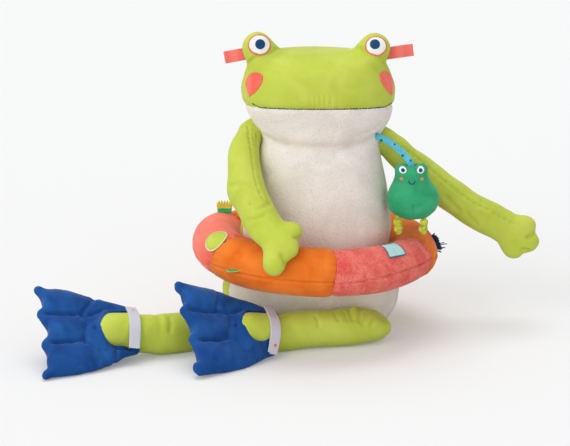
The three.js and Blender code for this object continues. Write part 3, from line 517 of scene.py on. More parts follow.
class Skin:
    """A closed skin of cloth that is shaped by moving its points along their normals."""

    def __init__(self, obj: bpy.types.Object) -> None:
        """Keep the object whose mesh is shaped."""
        self.obj = obj

    @classmethod
    def over(
        cls,
        name: str,
        nodes: Sequence[bpy.types.Object],
        voxel: float,
        grow: float,
        rounds: int,
        extra: Sequence[bpy.types.Mesh] = (),
        filling: Filling | None = None,
    ) -> "Skin":
        """Lay one even skin over copies of solids.

        Args:
            name: The new object's name.
            nodes: The solids' objects.
            voxel: Size of the skin's faces.
            grow: How far the solids swell first, so that neighbours meet.
            rounds: Rounds of smoothing.
            extra: More closed meshes to take in.
            filling: How the stuffing swells the skin, or nothing to leave it as it is.

        Returns:
            The skin.
        """
        shape = bmesh.new()
        for node in nodes:
            shape.from_mesh(node.data)
        bmesh.ops.remove_doubles(shape, verts=shape.verts, dist=WELD)
        for mesh in extra:
            shape.from_mesh(mesh)
        shape.normal_update()
        for vert in shape.verts:
            vert.co += vert.normal * grow
        mesh = bpy.data.meshes.new(name)
        shape.to_mesh(mesh)
        shape.free()
        mesh.materials.clear()
        skin = cls(link(name, mesh))
        if filling is not None:
            skin.even(filling.voxel)
            skin.fill(filling)
        skin.even(voxel)
        skin.relax(rounds)
        return skin

    def even(self, voxel: float) -> None:
        """Give the skin faces of one size."""
        remesh = self.obj.modifiers.new("even", "REMESH")
        remesh.mode = "VOXEL"
        remesh.voxel_size = voxel
        baked(self.obj)

    def fill(self, filling: Filling) -> None:
        """Blow the skin up as cloth, and keep each point's move under a cap.

        Args:
            filling: The pressure, the cap and the seams that hold the cloth back.
        """
        obj = self.obj
        self.press(np.full(len(self.points), -filling.shrink))
        rest = self.points
        cloth = obj.modifiers.new("filling", "CLOTH")
        cloth.settings.use_pressure = True
        cloth.settings.uniform_pressure_force = filling.pressure
        cloth.settings.effector_weights.gravity = 0.0
        if filling.held is not None:
            seams = obj.vertex_groups.new(name="seams")
            seams.add([int(k) for k in np.flatnonzero(filling.held(rest))], 1.0, "REPLACE")
            cloth.settings.vertex_group_mass = seams.name
        scene = bpy.context.scene
        for frame in range(1, filling.frames + 1):
            scene.frame_set(frame)
        baked(obj)
        obj.vertex_groups.clear()
        scene.frame_set(1)
        move = self.points - rest
        reach = np.maximum(np.linalg.norm(move, axis=1, keepdims=True), WELD)
        self.points = rest + move * (filling.cap * np.tanh(reach / filling.cap) / reach)

    @property
    def points(self) -> np.ndarray:
        """The mesh's points, one row each."""
        flat = np.empty(len(self.obj.data.vertices) * 3)
        self.obj.data.vertices.foreach_get("co", flat)
        return flat.reshape(-1, 3)

    @points.setter
    def points(self, places: np.ndarray) -> None:
        """Move the mesh's points."""
        self.obj.data.vertices.foreach_set("co", places.ravel())
        self.obj.data.update()

    @property
    def normals(self) -> np.ndarray:
        """The mesh's point normals, one row each."""
        flat = np.empty(len(self.obj.data.vertices) * 3, np.float32)
        self.obj.data.vertex_normals.foreach_get("vector", flat)
        return flat.reshape(-1, 3).astype(float)

    def relax(self, rounds: int, where: np.ndarray | None = None) -> None:
        """Smooth the skin.

        Args:
            rounds: How many times each point moves towards its neighbours' middle.
            where: Share of the move for each point, or nothing for all of it.
        """
        mesh = self.obj.data
        ends = np.empty(len(mesh.edges) * 2, np.int32)
        mesh.edges.foreach_get("vertices", ends)
        a, b = ends[0::2], ends[1::2]
        places = self.points
        count = np.bincount(ends, minlength=len(places)).astype(float)
        share = RELAX_SHARE if where is None else RELAX_SHARE * where[:, None]
        for _ in range(rounds):
            total = np.stack(
                [
                    np.bincount(a, places[b, k], len(places))
                    + np.bincount(b, places[a, k], len(places))
                    for k in range(3)
                ],
                axis=1,
            )
            places = places + share * (total / count[:, None] - places)
        self.points = places

    def press(self, offset: np.ndarray) -> None:
        """Move each point along its normal by its own distance."""
        self.points = self.points + self.normals * offset[:, None]

    def crease(self, creases: Iterable[Crease]) -> None:
        """Draw several lines into the skin."""
        places = self.points
        tree = tree_of(self.obj.data)
        self.press(sum((c.offset(places, tree) for c in creases), np.zeros(len(places))))

    def nudge(self, nudges: Iterable[Nudge]) -> None:
        """Shift soft regions of the skin."""
        places = self.points
        move = np.zeros_like(places)
        for nudge in nudges:
            gap = np.linalg.norm(places - np.array(nudge.at), axis=1)
            move += np.array(nudge.move) * np.exp(-((gap / nudge.reach) ** 2))[:, None]
        self.points = places + move

    def lumps(self, size: float, height: float, seed: int) -> None:
        """Give the filling's soft unevenness.

        Args:
            size: Distance between lumps.
            height: How far they stand out.
            seed: Number that fixes the lumps.
        """
        chance = np.random.default_rng(seed)
        places = self.points
        wave = np.zeros(len(places))
        for _ in range(10):
            way = chance.normal(size=3)
            way *= 2 * np.pi / size / np.linalg.norm(way) * chance.uniform(0.6, 1.4)
            wave += np.sin(places @ way + chance.uniform(0, 2 * np.pi))
        self.press(wave * height / math.sqrt(10))

    def rest_on(self, height: float = 0.0) -> None:
        """Keep every point above a level."""
        places = self.points
        places[:, 2] = np.maximum(places[:, 2], height)
        self.points = places

    def cut(self, normal: Point, point: Point) -> None:
        """Lay an edge loop where a plane crosses the skin."""
        shape = bmesh.new()
        shape.from_mesh(self.obj.data)
        everything = [*shape.verts, *shape.edges, *shape.faces]
        bmesh.ops.bisect_plane(shape, geom=everything, dist=WELD, plane_co=point, plane_no=normal)
        shape.to_mesh(self.obj.data)
        shape.free()

    def dress(
        self, finishes: Sequence[Finish], pick: Callable[[np.ndarray], np.ndarray] | None = None
    ) -> bpy.types.Object:
        """Give the skin its cloths.

        Args:
            finishes: The cloths.
            pick: Gives the number of the cloth for each face's middle.

        Returns:
            The skin's object.
        """
        mesh = self.obj.data
        mesh.materials.clear()
        for finish in finishes:
            mesh.materials.append(finish.material())
        if pick is not None:
            flat = np.empty(len(mesh.polygons) * 3)
            mesh.polygons.foreach_get("center", flat)
            chosen = pick(flat.reshape(-1, 3)).astype(np.int32)
            mesh.polygons.foreach_set("material_index", chosen)
        mesh.polygons.foreach_set("use_smooth", [True] * len(mesh.polygons))
        return self.obj


def smooth_path(stops: Sequence[Sequence[float]], steps: int) -> list[Vector]:
    """Run a smooth curve through stops.

    Args:
        stops: Points the curve passes.
        steps: Steps between two stops.

    Returns:
        Points along the curve.
    """
    p = [Vector(s) for s in stops]
    p = [2 * p[0] - p[1], *p, 2 * p[-1] - p[-2]]
    made = []
    for k in range(1, len(p) - 2):
        a, b, c, d = p[k - 1 : k + 3]
        for n in range(steps):
            t = n / steps
            made.append(
                0.5
                * (
                    2 * b
                    + (c - a) * t
                    + (2 * a - 5 * b + 4 * c - d) * t * t
                    + (3 * b - a - 3 * c + d) * t**3
                )
            )
    return [*made, p[-2]]


def swept(
    name: str, path: Sequence[Vector], section: Sequence[Pair], facing: Vector | None = None
) -> bpy.types.Mesh:
    """Sweep a closed section along a path, with flat ends and a map in metres.

    Args:
        name: The mesh's name.
        path: The path's points.
        section: Points across and out.
        facing: The way the section's second axis looks, or nothing to let it follow the path.

    Returns:
        The mesh, its map running along the path and round the section.
    """
    count = len(section)
    points: list[Vector] = []
    out = (facing or Vector((0.31, -0.8, 0.52))).normalized()
    runs = [0.0]
    for k, at in enumerate(path):
        ahead = path[min(k + 1, len(path) - 1)] - path[max(k - 1, 0)]
        across = out.cross(ahead).normalized()
        square = ahead.cross(across).normalized()
        if facing is None:
            out = square
        points += [at + across * a + square * b for a, b in section]
        if k:
            runs.append(runs[-1] + (at - path[k - 1]).length)
    mesh = mesh_of(name, points, tube_faces(len(path), count))
    places = mesh.uv_layers.new(name="along")
    for loop in mesh.loops:
        row, column = divmod(loop.vertex_index, count)
        places.data[loop.index].uv = (runs[row], section[column][0])
    return mesh


def round_section(radius: float, count: int = 8) -> list[Pair]:
    """Points of a round section."""
    turns = [2 * math.pi * k / count for k in range(count)]
    return [(radius * math.cos(t), radius * math.sin(t)) for t in turns]


def flat_section(width: float, thickness: float, steps: int = 4) -> list[Pair]:
    """Points of a flat section with rounded edges."""
    half, edge = width / 2 - thickness / 2, thickness / 2
    made = []
    for side in (1, -1):
        for k in range(steps + 1):
            turn = math.pi * k / steps - math.pi / 2
            made.append((side * (half + edge * math.cos(turn)), side * edge * math.sin(turn)))
    return made


class Stitcher:
    """Lays threads along lines with one Geometry Nodes tree."""

    tree_name = "stitch_row"

    def tree(self) -> bpy.types.NodeTree:
        """Build the tree, once, and return it."""
        if self.tree_name in bpy.data.node_groups:
            return bpy.data.node_groups[self.tree_name]
        tree = bpy.data.node_groups.new(self.tree_name, "GeometryNodeTree")
        sockets = tree.interface
        sockets.new_socket("Line", in_out="INPUT", socket_type="NodeSocketGeometry")
        for label in ("Spacing", "Thread Length", "Thread Radius"):
            sockets.new_socket(label, in_out="INPUT", socket_type="NodeSocketFloat")
        sockets.new_socket("Seed", in_out="INPUT", socket_type="NodeSocketInt")
        sockets.new_socket("Cloth", in_out="INPUT", socket_type="NodeSocketMaterial")
        sockets.new_socket("Threads", in_out="OUTPUT", socket_type="NodeSocketGeometry")
        w = Wiring(tree)
        given = w.add("NodeGroupInput").outputs
        curve = w.add("GeometryNodeMeshToCurve", {"Mesh": given["Line"]})
        even = w.add(
            "GeometryNodeResampleCurve",
            {"Curve": curve.outputs[0], "Length": given["Spacing"]},
            mode="LENGTH",
        )
        way = w.add("GeometryNodeInputNamedAttribute", {"Name": "thread"}, data_type="FLOAT_VECTOR")
        turn = w.add("FunctionNodeAlignRotationToVector", {"Vector": way.outputs[0]}, axis="Z")
        uneven = w.add(
            "FunctionNodeRandomValue",
            {2: 0.9, 3: 1.08, "Seed": given["Seed"]},
            data_type="FLOAT",
        )
        half = w.add("ShaderNodeMath", {0: given["Thread Length"], 1: 0.5}, operation="MULTIPLY")
        long = w.add(
            "ShaderNodeMath", {0: half.outputs[0], 1: uneven.outputs[1]}, operation="MULTIPLY"
        )
        radius = given["Thread Radius"]
        size = w.add("ShaderNodeCombineXYZ", {0: radius, 1: radius, 2: long.outputs[0]})
        bead = w.add("GeometryNodeMeshUVSphere", {"Segments": 6, "Rings": 5, "Radius": 1.0})
        rows = w.add(
            "GeometryNodeInstanceOnPoints",
            {
                "Points": even.outputs[0],
                "Instance": bead.outputs[0],
                "Rotation": turn.outputs[0],
                "Scale": size.outputs[0],
            },
        )
        real = w.add("GeometryNodeRealizeInstances", {0: rows.outputs[0]})
        clad = w.add("GeometryNodeSetMaterial", {0: real.outputs[0], "Material": given["Cloth"]})
        w.add("NodeGroupOutput", {"Threads": clad.outputs[0]})
        return tree

    def sew(
        self,
        name: str,
        line: Line,
        finish: Finish,
        sizes: Point,
        body: str,
        *nodes: str,
    ) -> None:
        """Lay threads along a line.

        Args:
            name: The piece's name.
            line: The line's points, and the way each thread lies there.
            finish: The thread.
            sizes: Distance between threads, and a thread's length and radius.
            body: The body that the threads move with.
            nodes: The solids that they stand for.
        """
        points, ways = line
        mesh = bpy.data.meshes.new(name)
        edges = [(k, k + 1) for k in range(len(points) - 1)]
        mesh.from_pydata([tuple(p) for p in points], edges, [])
        attribute = mesh.attributes.new("thread", "FLOAT_VECTOR", "POINT")
        attribute.data.foreach_set("vector", [c for way in ways for c in way])
        obj = link(name, mesh)
        modifier = obj.modifiers.new("stitches", "NODES")
        modifier.node_group = self.tree()
        values = dict(zip(("Spacing", "Thread Length", "Thread Radius"), sizes))
        values |= {"Seed": 7, "Cloth": finish.material()}
        for item in modifier.node_group.interface.items_tree:
            if item.in_out == "INPUT" and item.name in values:
                modifier[item.identifier] = values[item.name]
        baked(obj)
        obj.data.polygons.foreach_set("use_smooth", [True] * len(obj.data.polygons))
        settle(obj, body, *nodes)


STITCHER = Stitcher()


def running(path: Sequence[Vector]) -> Line:
    """A line whose threads lie along it."""
    ways = [
        (path[min(k + 1, len(path) - 1)] - path[max(k - 1, 0)]).normalized()
        for k in range(len(path))
    ]
    return list(path), ways


class Surface:
    """A finished skin that patches and stitches are laid on."""

    def __init__(self, obj: bpy.types.Object) -> None:
        """Measure the skin."""
        self.tree = tree_of(obj.data)

    def hit(self, origin: Vector, way: Vector, lift: float = 0.0) -> tuple[Vector, Vector]:
        """Find where a ray meets the skin.

        Args:
            origin: Where the ray starts.
            way: Its direction.
            lift: How far above the skin the answer lies.

        Returns:
            The place and the skin's normal there.
        """
        place, normal, _, _ = self.tree.ray_cast(origin, way)
        if place is None:
            place, normal, _, _ = self.tree.find_nearest(origin + way * RAY_START)
        if normal.dot(way) > 0:
            normal = -normal
        return place + normal * lift, normal

    def patch(
        self,
        name: str,
        centre: Vector,
        look: Vector,
        outline: Sequence[Pair],
        finish: Finish,
        height: float,
        body: str,
        *nodes: str,
    ) -> tuple[bpy.types.Object, Edge]:
        """Sew a flat patch on.

        Args:
            name: The patch's name.
            centre: A point under the patch.
            look: The way the patch faces.
            outline: Its edge, across and up from the centre.
            finish: Its cloth.
            height: How far it stands above the skin.
            body: The body it moves with.
            nodes: The solids it stands for.

        Returns:
            The patch, and each edge point with the skin's normal.
        """
        look = look.normalized()
        across = UP.cross(look).normalized()
        rise = look.cross(across).normalized()
        rings = [(1.0, -1.2), (1.0, 0.2), (0.985, 0.8), (0.95, 1.0)]
        rings += [(share, 1.0) for share in (0.85, 0.7, 0.55, 0.4, 0.25, 0.1)]
        points: list[Vector] = []
        edge: Edge = []
        for share, lift in rings:
            for x, y in outline:
                origin = centre + (across * x + rise * y) * share + look * RAY_START
                place, normal = self.hit(origin, -look)
                points.append(place + normal * height * lift)
                if len(edge) < len(outline):
                    edge.append((place + normal * height * 0.6, normal))
        mesh = mesh_of(name, points, tube_faces(len(rings), len(outline)))
        return piece(name, mesh, finish, body, *nodes), edge


def satin(edge: Edge) -> Line:
    """A closed line whose threads lie across it, flat on the skin."""
    closed = [*edge, edge[0]]
    ways = []
    for k, (_, normal) in enumerate(closed):
        ahead = closed[(k + 1) % len(edge)][0] - closed[(k - 1) % len(edge)][0]
        ways.append(normal.cross(ahead).normalized())
    return [place for place, _ in closed], ways


def oval(wide: float, tall: float, count: int = 56) -> list[Pair]:
    """Outline of an oval patch by its half width and half height."""
    return [(x * wide, y * tall) for x, y in round_section(1.0, count)]


def closed_curve(stops: Sequence[Pair], steps: int = 6) -> list[Pair]:
    """Smooth outline through stops, with a corner at the first one."""
    flat = [(x, y, 0.0) for x, y in [*stops, stops[0]]]
    return [(p.x, p.y) for p in smooth_path(flat, steps)[:-1]]


def gaze(azimuth: float, elevation: float) -> Vector:
    """A direction by degrees round from the front and degrees up."""
    a, e = math.radians(azimuth), math.radians(elevation)
    return Vector((math.sin(a) * math.cos(e), -math.cos(a) * math.cos(e), math.sin(e)))


# ---- The frog's body ----


@dataclass
class Figure:
    """Torso and head as one stuffed cover of terry and velour panels."""

    nodes: dict[str, bpy.types.Object]
    voxel: float = 0.002
    grow: float = 0.001
    rounds: int = 34
    mouth_height: float = 0.3705
    mouth_slope: float = 0.115
    mouth_half_width: float = 0.109
    mouth_middle: float = 0.0099
    mouth_rise: float = 0.005
    neck_height: float = 0.321
    seam_reach: float = 0.004
    torso_seam: Point = (0.0, -0.021, 0.0)
    torso_seam_normal: Point = (-0.12, 1.0, -0.05)
    head_seam: Point = (0.0, 0.008, 0.0)
    head_seam_normal: Point = (-0.06, 1.0, 0.0)
    throat_height: float = 0.326
    throat_swell: float = 0.0065
    crown_height: float = 0.44
    crown_drop: float = 0.003
    middle_reach: float = 0.062
    eye_root: Point = (0.078, -0.012, 0.446)
    fillet: float = 0.03
    fillet_rounds: int = 60
    nudges: tuple[Nudge, ...] = (
        nudge((118, -30, 20), (-6, 1, 0), 35),
        nudge((-116, -20, 452), (-2.5, 0, 0), 22),
        nudge((120, -20, 458), (2, 0, 1), 20),
    )
    creases: tuple[Crease, ...] = (
        crease(
            2.4, 11, (-96, -20, 324), (-86, -30, 315), (-26, -71, 316), (22, -74, 313),
            (69, -58, 319), (100, -42, 334),
        ),
        crease(2.8, 6, (34, -78, 306), (70, -60, 313), (100, -36, 326)),
        crease(2.2, 6, (-94, -30, 331), (-75, -52, 320), (-52, -68, 312)),
        crease(1.6, 6, (100, -52, 347), (88, -62, 338), (70, -70, 334)),
    )
    face_seams: tuple[Crease, ...] = (
        crease(
            2.4, 2.6, (-46, 4, 461), (-60, -20, 463), (-73, -42, 462), (-92, -46, 456),
            (-105, -38, 446), (-112, -24, 434), (-115.6, -14, 412), (-117, -6, 386), pucker=0.25,
        ),
        crease(
            2.4, 2.6, (50, 4, 461), (64, -20, 464), (78, -44, 464), (97, -46, 457), (109, -38, 446),
            (116, -24, 434), (119.5, -14, 412), (121, -6, 386), pucker=0.25,
        ),
    )

    @property
    def planes(self) -> tuple[tuple[Point, Point], ...]:
        """Normal and point of the torso seam, the head seam and the mouth."""
        return (
            (self.torso_seam_normal, self.torso_seam),
            (self.head_seam_normal, self.head_seam),
            ((0.0, self.mouth_slope, 1.0), (0.0, 0.0, self.mouth_height)),
        )

    def mouth_line(self, surface: Surface, steps: int = 90) -> list[Vector]:
        """Points of the mouth on the skin, its ends turned up."""
        way = Vector((0, 1, -self.mouth_slope)).normalized()
        start = self.mouth_height + self.mouth_slope * RAY_START
        made = []
        for k in range(steps + 1):
            share = 2 * k / steps - 1
            x = self.mouth_middle + self.mouth_half_width * share
            rise = self.mouth_rise * max(0.0, (abs(share) - 0.9) / 0.1)
            made.append(surface.hit(Vector((x, -RAY_START, start + rise)), way)[0])
        return made

    def build(self) -> bpy.types.Object:
        """Build the cover and return it."""
        names = ["belly_panel", "back_panel", "chin_panel", "nape_panel", "crown"]
        names += [f"eye_bump_{side}" for side in SIDES]
        skin = Skin.over(
            "figure_cover", [self.nodes[name] for name in names], self.voxel, self.grow,
            self.rounds, filling=Filling(held=self.held),
        )
        self.swell(skin)
        skin.nudge(self.nudges)
        skin.lumps(0.09, 0.0007, seed=3)
        skin.crease([*self.creases, *self.face_seams])
        self.draw_seams(skin)
        skin.rest_on()
        for normal, at in (*self.planes, ((0.0, 0.0, 1.0), (0.0, 0.0, self.neck_height))):
            skin.cut(normal, at)
        obj = skin.dress([CREAM, LIME], self.cloth_of)
        return settle(obj, "torso", *names)

    def swell(self, skin: Skin) -> None:
        """Fill the throat, flatten the crown and round the cloth under the eyes."""
        x, y, z = skin.points.T
        off = x / self.middle_reach
        level = np.clip((z - self.crown_height) / 0.024, 0, 1) * np.exp(-(off**4))
        throat = (y < -0.01) * np.exp(-(((z - self.throat_height) / 0.014) ** 2))
        skin.press(self.throat_swell * throat * np.exp(-(off**2)) - self.crown_drop * level)
        points = skin.points
        near = np.zeros(len(points))
        for side in SIDES.values():
            gap = np.linalg.norm(points - np.array(self.eye_root) * (side, 1, 1), axis=1)
            near = np.maximum(near, np.exp(-((gap / self.fillet) ** 2)))
        skin.relax(self.fillet_rounds, near)

    def sides(self, points: np.ndarray) -> tuple[np.ndarray, np.ndarray, np.ndarray]:
        """Distances of points from the torso seam, the head seam and the mouth seam."""
        torso, head, mouth = (
            (points - np.array(at)) @ (np.array(normal) / np.linalg.norm(normal))
            for normal, at in self.planes
        )
        return torso, head, mouth

    def held(self, points: np.ndarray) -> np.ndarray:
        """Which points the seams and the flat seat hold back."""
        torso, head, mouth = self.sides(points)
        low = points[:, 2] < self.neck_height
        neck = np.abs(points[:, 2] - self.neck_height) < self.seam_reach
        seat = points[:, 2] < self.seam_reach
        panels = np.minimum(np.abs(mouth), np.abs(head))
        sewn = np.where(low, np.abs(torso), panels) < self.seam_reach
        return sewn | neck | seat

    def cloth_of(self, points: np.ndarray) -> np.ndarray:
        """Number of the cloth at each point: 0 is terry, 1 is velour."""
        torso, head, mouth = self.sides(points)
        low = points[:, 2] < self.neck_height
        return np.where(low, torso > 0, (mouth > 0) | (head > 0))

    def draw_seams(self, skin: Skin) -> None:
        """Draw the panels' seams, and the gathers over the mouth, into the cover."""
        points = skin.points
        torso, head, mouth = self.sides(points)
        x, y, height = points.T
        seams = (
            (torso, height < self.neck_height, 0.0013, 0.0028),
            (head, (height > self.neck_height) & (mouth < 0), 0.0013, 0.0028),
            (mouth, height > self.neck_height, 0.0022, 0.0032),
        )
        wave = 1 + 0.25 * np.sin(x * 640 + 3 * np.sin(x * 95))
        offset = np.zeros(len(points))
        for distance, where, depth, width in seams:
            offset -= where * depth * wave * np.exp(-((distance / width) ** 2))
        above = np.exp(-(((mouth - 0.012) / 0.011) ** 2)) * (mouth > 0) * (y < -0.03)
        gather = np.sin(x * 560 + 5 * np.sin(x * 60)) * np.maximum(0, np.sin(x * 48 + 1))
        offset += above * (0.0016 + 0.0009 * gather)
        skin.press(offset)

    def sew_mouth(self, surface: Surface) -> None:
        """Stitch the mouth."""
        line = running(self.mouth_line(surface))
        sizes = (0.0052, 0.0058, 0.0011)
        STITCHER.sew("mouth_threads", line, FOREST_THREAD, sizes, "torso", "mouth_stitching")


@dataclass
class Eye:
    """One eye: a white patch with a satin border and a pupil."""

    side: str
    white_look: Pair
    pupil_look: Pair
    height: float
    white_radii: Pair = (0.0162, 0.0146)
    spacing: float = 0.185
    depth: float = -0.025
    ball: float = 0.0245
    border: float = 0.0042
    pupil_radius: float = 0.0078

    def build(self, surface: Surface) -> None:
        """Sew the eye on the cover."""
        centre = Vector((SIDES[self.side] * self.spacing / 2, self.depth, self.height))
        look = gaze(*self.white_look)
        white, edge = surface.patch(
            f"eye_white_{self.side}_patch", centre + look * self.ball, look,
            oval(*self.white_radii), WHITE, 0.0016, "torso", f"eye_white_{self.side}",
        )
        STITCHER.sew(
            f"eye_border_{self.side}", satin(edge), CORAL_THREAD, (0.0008, self.border, 0.0009),
            "torso", f"eye_ring_{self.side}",
        )
        look = gaze(*self.pupil_look)
        Surface(white).patch(
            f"pupil_{self.side}_patch", centre + look * self.ball, look,
            round_section(self.pupil_radius, 48), NAVY, 0.0012, "torso", f"pupil_{self.side}",
        )


@dataclass
class Cheek:
    """One drop-shaped cheek patch, its tip down and back."""

    side: str
    azimuth: float
    height: float = 0.414
    depth: float = 0.06
    stops: tuple[Pair, ...] = (
        (0.0034, -0.0215), (0.013, -0.0115), (0.0225, -0.003), (0.0185, 0.009),
        (0.003, 0.0172), (-0.0145, 0.0158), (-0.0195, 0.005), (-0.0115, -0.0105),
    )

    def build(self, surface: Surface) -> None:
        """Sew the cheek on the cover."""
        look = gaze(self.azimuth, 0)
        outline = closed_curve([(x * SIDES[self.side], y) for x, y in self.stops])
        surface.patch(
            f"cheek_{self.side}_patch", UP * self.height + look * self.depth, look, outline,
            CORAL, 0.0014, "torso", f"cheek_{self.side}",
        )


@dataclass
class EarTag:
    """A folded woven ribbon beside an eye."""

    side: str
    height: float
    rise: float
    reach: float
    root: Pair = (0.0925, -0.015)
    hidden: float = 0.0245
    width: float = 0.0195
    thickness: float = 0.0009
    gap: float = 0.0008
    sway: float = 0.0012

    def build(self) -> None:
        """Build the folded ribbon."""
        side = SIDES[self.side]
        start = Vector((side * self.root[0], self.root[1], self.height))
        long = Vector((side, 0, side * self.rise)).normalized()
        length = self.reach + self.hidden
        lift = (self.gap + self.thickness) / 2
        front = [
            start + long * length * t + FRONT * (lift + self.sway * math.sin(5 * t))
            for t in np.linspace(0.2, 0.985, 16)
        ]
        bend = [
            start
            + long * (length * 0.985 + 1.4 * lift * math.sin(a))
            + FRONT * (lift * math.cos(a) + self.sway * math.sin(4.925))
            for a in np.linspace(0, math.pi, 9)[1:-1]
        ]
        back = [p - FRONT * 2 * lift for p in reversed(front)]
        section = [(b, a) for a, b in flat_section(self.width, self.thickness)]
        across = long.cross(FRONT).normalized()
        name = f"ear_tag_{self.side}"
        mesh = swept(name, [*front, *bend, *back], section, across)
        piece(name, mesh, CORAL_RIBBON, "torso", f"ribbon_tag_{self.side}")


# ---- Limbs ----


@dataclass(frozen=True)
class Fold:
    """A short wrinkle across a limb."""

    along: float
    angle: float
    spread: float = 60.0
    depth: float = 0.0015
    width: float = 0.004
    slant: float = 0.0


@dataclass(frozen=True)
class Seam:
    """A sewn line along a limb."""

    angle: float
    start: float
    end: float
    depth: float = 0.0011
    width: float = 0.0018


class LimbMap:
    """Reads places on a limb as distance along its axis and angle round it."""

    def __init__(self, axis: Sequence[Point], facing: Point) -> None:
        """Keep the axis, in metres, and the direction of angle nought."""
        self.axis = np.array(smooth_path(axis, 6))
        self.facing = np.array(facing) / np.linalg.norm(facing)

    def read(self, points: np.ndarray) -> tuple[np.ndarray, np.ndarray, np.ndarray]:
        """Measure points.

        Args:
            points: Places in metres.

        Returns:
            Distance along the axis, degrees round it and distance from it.
        """
        best = np.full(len(points), np.inf)
        along = np.zeros(len(points))
        angle = np.zeros(len(points))
        run = 0.0
        for a, b in zip(self.axis, self.axis[1:]):
            way = b - a
            length = float(np.linalg.norm(way))
            unit = way / length
            share = np.clip((points - a) @ unit, 0, length)
            rest = points - a - share[:, None] * unit
            gap = np.linalg.norm(rest, axis=1)
            up = self.facing - unit * (self.facing @ unit)
            up /= np.linalg.norm(up)
            side = np.cross(unit, up)
            nearer = gap < best
            best[nearer] = gap[nearer]
            along[nearer] = run + share[nearer]
            angle[nearer] = np.degrees(np.arctan2(rest @ side, rest @ up))[nearer]
            run += length
        return along, angle, best

    def offset(
        self, points: np.ndarray, folds: Iterable[Fold], seams: Iterable[Seam]
    ) -> np.ndarray:
        """How far folds and seams move each point along its normal."""
        along, angle, reach = self.read(points)
        total = np.zeros(len(points))
        for fold in folds:
            turn = (angle - fold.angle + 180) % 360 - 180
            fade = np.exp(-((turn / fold.spread) ** 4))
            off = (along - fold.along - fold.slant * turn / 1000) / fold.width
            ridge = np.exp(-((off - 1.9) ** 2)) + np.exp(-((off + 1.9) ** 2))
            total += fold.depth * fade * (0.3 * ridge - np.exp(-(off**2)))
        for seam in seams:
            turn = (angle - seam.angle + 180) % 360 - 180
            gap = np.radians(turn) * reach / seam.width
            wave = 1 + 0.3 * np.sin(along * 900) + 0.3 * np.sin(along * 410)
            inside = 1 / (1 + np.exp(-(along - seam.start) / 0.004))
            inside *= 1 / (1 + np.exp((along - seam.end) / 0.004))
            total -= seam.depth * wave * inside * np.exp(-(gap**2))
        return total


@dataclass
class Arm:
    """One stuffed arm with a flat three-fingered hand, sewn on at the shoulder."""

    side: str
    axis: tuple[Point, ...]
    facing: Point
    shoulder: tuple[Point, ...]
    shoulder_radius: float
    blend_start: Point
    blend_end: Point
    folds: tuple[Fold, ...] = ()
    seams: tuple[Seam, ...] = ()
    creases: tuple[Crease, ...] = ()
    nudges: tuple[Nudge, ...] = ()
    voxel: float = 0.0016

    def build(self, nodes: dict[str, bpy.types.Object]) -> None:
        """Build the arm."""
        name = f"arm_{self.side}"
        path = smooth_path(self.shoulder, 6)
        stub = swept("shoulder", path, round_section(self.shoulder_radius, 20))
        skin = Skin.over(
            f"{name}_cover", [nodes[name]], self.voxel, grow=0.0012, rounds=20, extra=[stub],
            filling=Filling(voxel=0.0045, cap=0.002),
        )
        skin.nudge(self.nudges)
        mapped = LimbMap(self.axis, self.facing)
        skin.lumps(0.05, 0.0006, seed=11 if self.side == "left" else 12)
        skin.press(mapped.offset(skin.points, self.folds, self.seams))
        skin.crease(self.creases)
        obj = skin.dress([LIME])
        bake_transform(obj)
        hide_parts(name)
        log.info("%s bends from torso, %d faces", obj.name, len(obj.data.polygons))


@dataclass(frozen=True)
class Foot:
    """Where a foot starts, the way it points and how thick it is stuffed."""

    heel: Point
    toes: Point
    radius: float = 0.0284
    straight: float = 0.03
    rounding: float = 0.0345

    @property
    def way(self) -> np.ndarray:
        """The direction from heel to toes."""
        return np.array(self.toes) / np.linalg.norm(self.toes)

    def profile(self, along: np.ndarray) -> np.ndarray:
        """Radius at distances from the heel, round at the toes."""
        share = np.clip((along - self.straight) / self.rounding, 0, 0.999)
        return self.radius * (1 - share**3) ** (1 / 3)

    def fill(self, skin: Skin) -> None:
        """Fill the foot up to the opening of its shoe."""
        rest = skin.points - np.array(self.heel)
        along = rest @ self.way
        side = rest - along[:, None] * self.way
        away = np.maximum(np.linalg.norm(side, axis=1), WELD)
        along = along + 0.004 * np.clip((along - self.straight) / 0.03, 0, 1)
        gain = np.maximum(self.profile(along) - away, 0) * np.clip((along + 0.004) / 0.008, 0, 1)
        reach = np.clip((away - 0.004) / 0.008, 0, 1)
        side = side * (1 + gain * reach / away)[:, None]
        skin.points = np.array(self.heel) + along[:, None] * self.way + side


@dataclass
class Leg:
    """One stuffed leg that ends in a round foot."""

    side: str
    foot: Foot
    axis: tuple[Point, ...]
    folds: tuple[Fold, ...]
    creases: tuple[Crease, ...]
    nudges: tuple[Nudge, ...]
    seams: tuple[Seam, ...] = (Seam(178.0, 0.0, 0.2),)
    voxel: float = 0.0018

    def build(self, nodes: dict[str, bpy.types.Object]) -> None:
        """Build the leg."""
        name = f"leg_{self.side}"
        skin = Skin.over(
            f"{name}_cover", [nodes[name]], self.voxel, grow=0.0012, rounds=22,
            filling=Filling(cap=0.002),
        )
        skin.nudge(self.nudges)
        skin.lumps(0.05, 0.0006, seed=21 if self.side == "left" else 22)
        skin.press(LimbMap(self.axis, (0, 0, 1)).offset(skin.points, self.folds, self.seams))
        skin.crease(self.creases)
        self.foot.fill(skin)
        skin.rest_on()
        obj = skin.dress([LIME])
        settle(obj, f"{self.side}_leg", name)


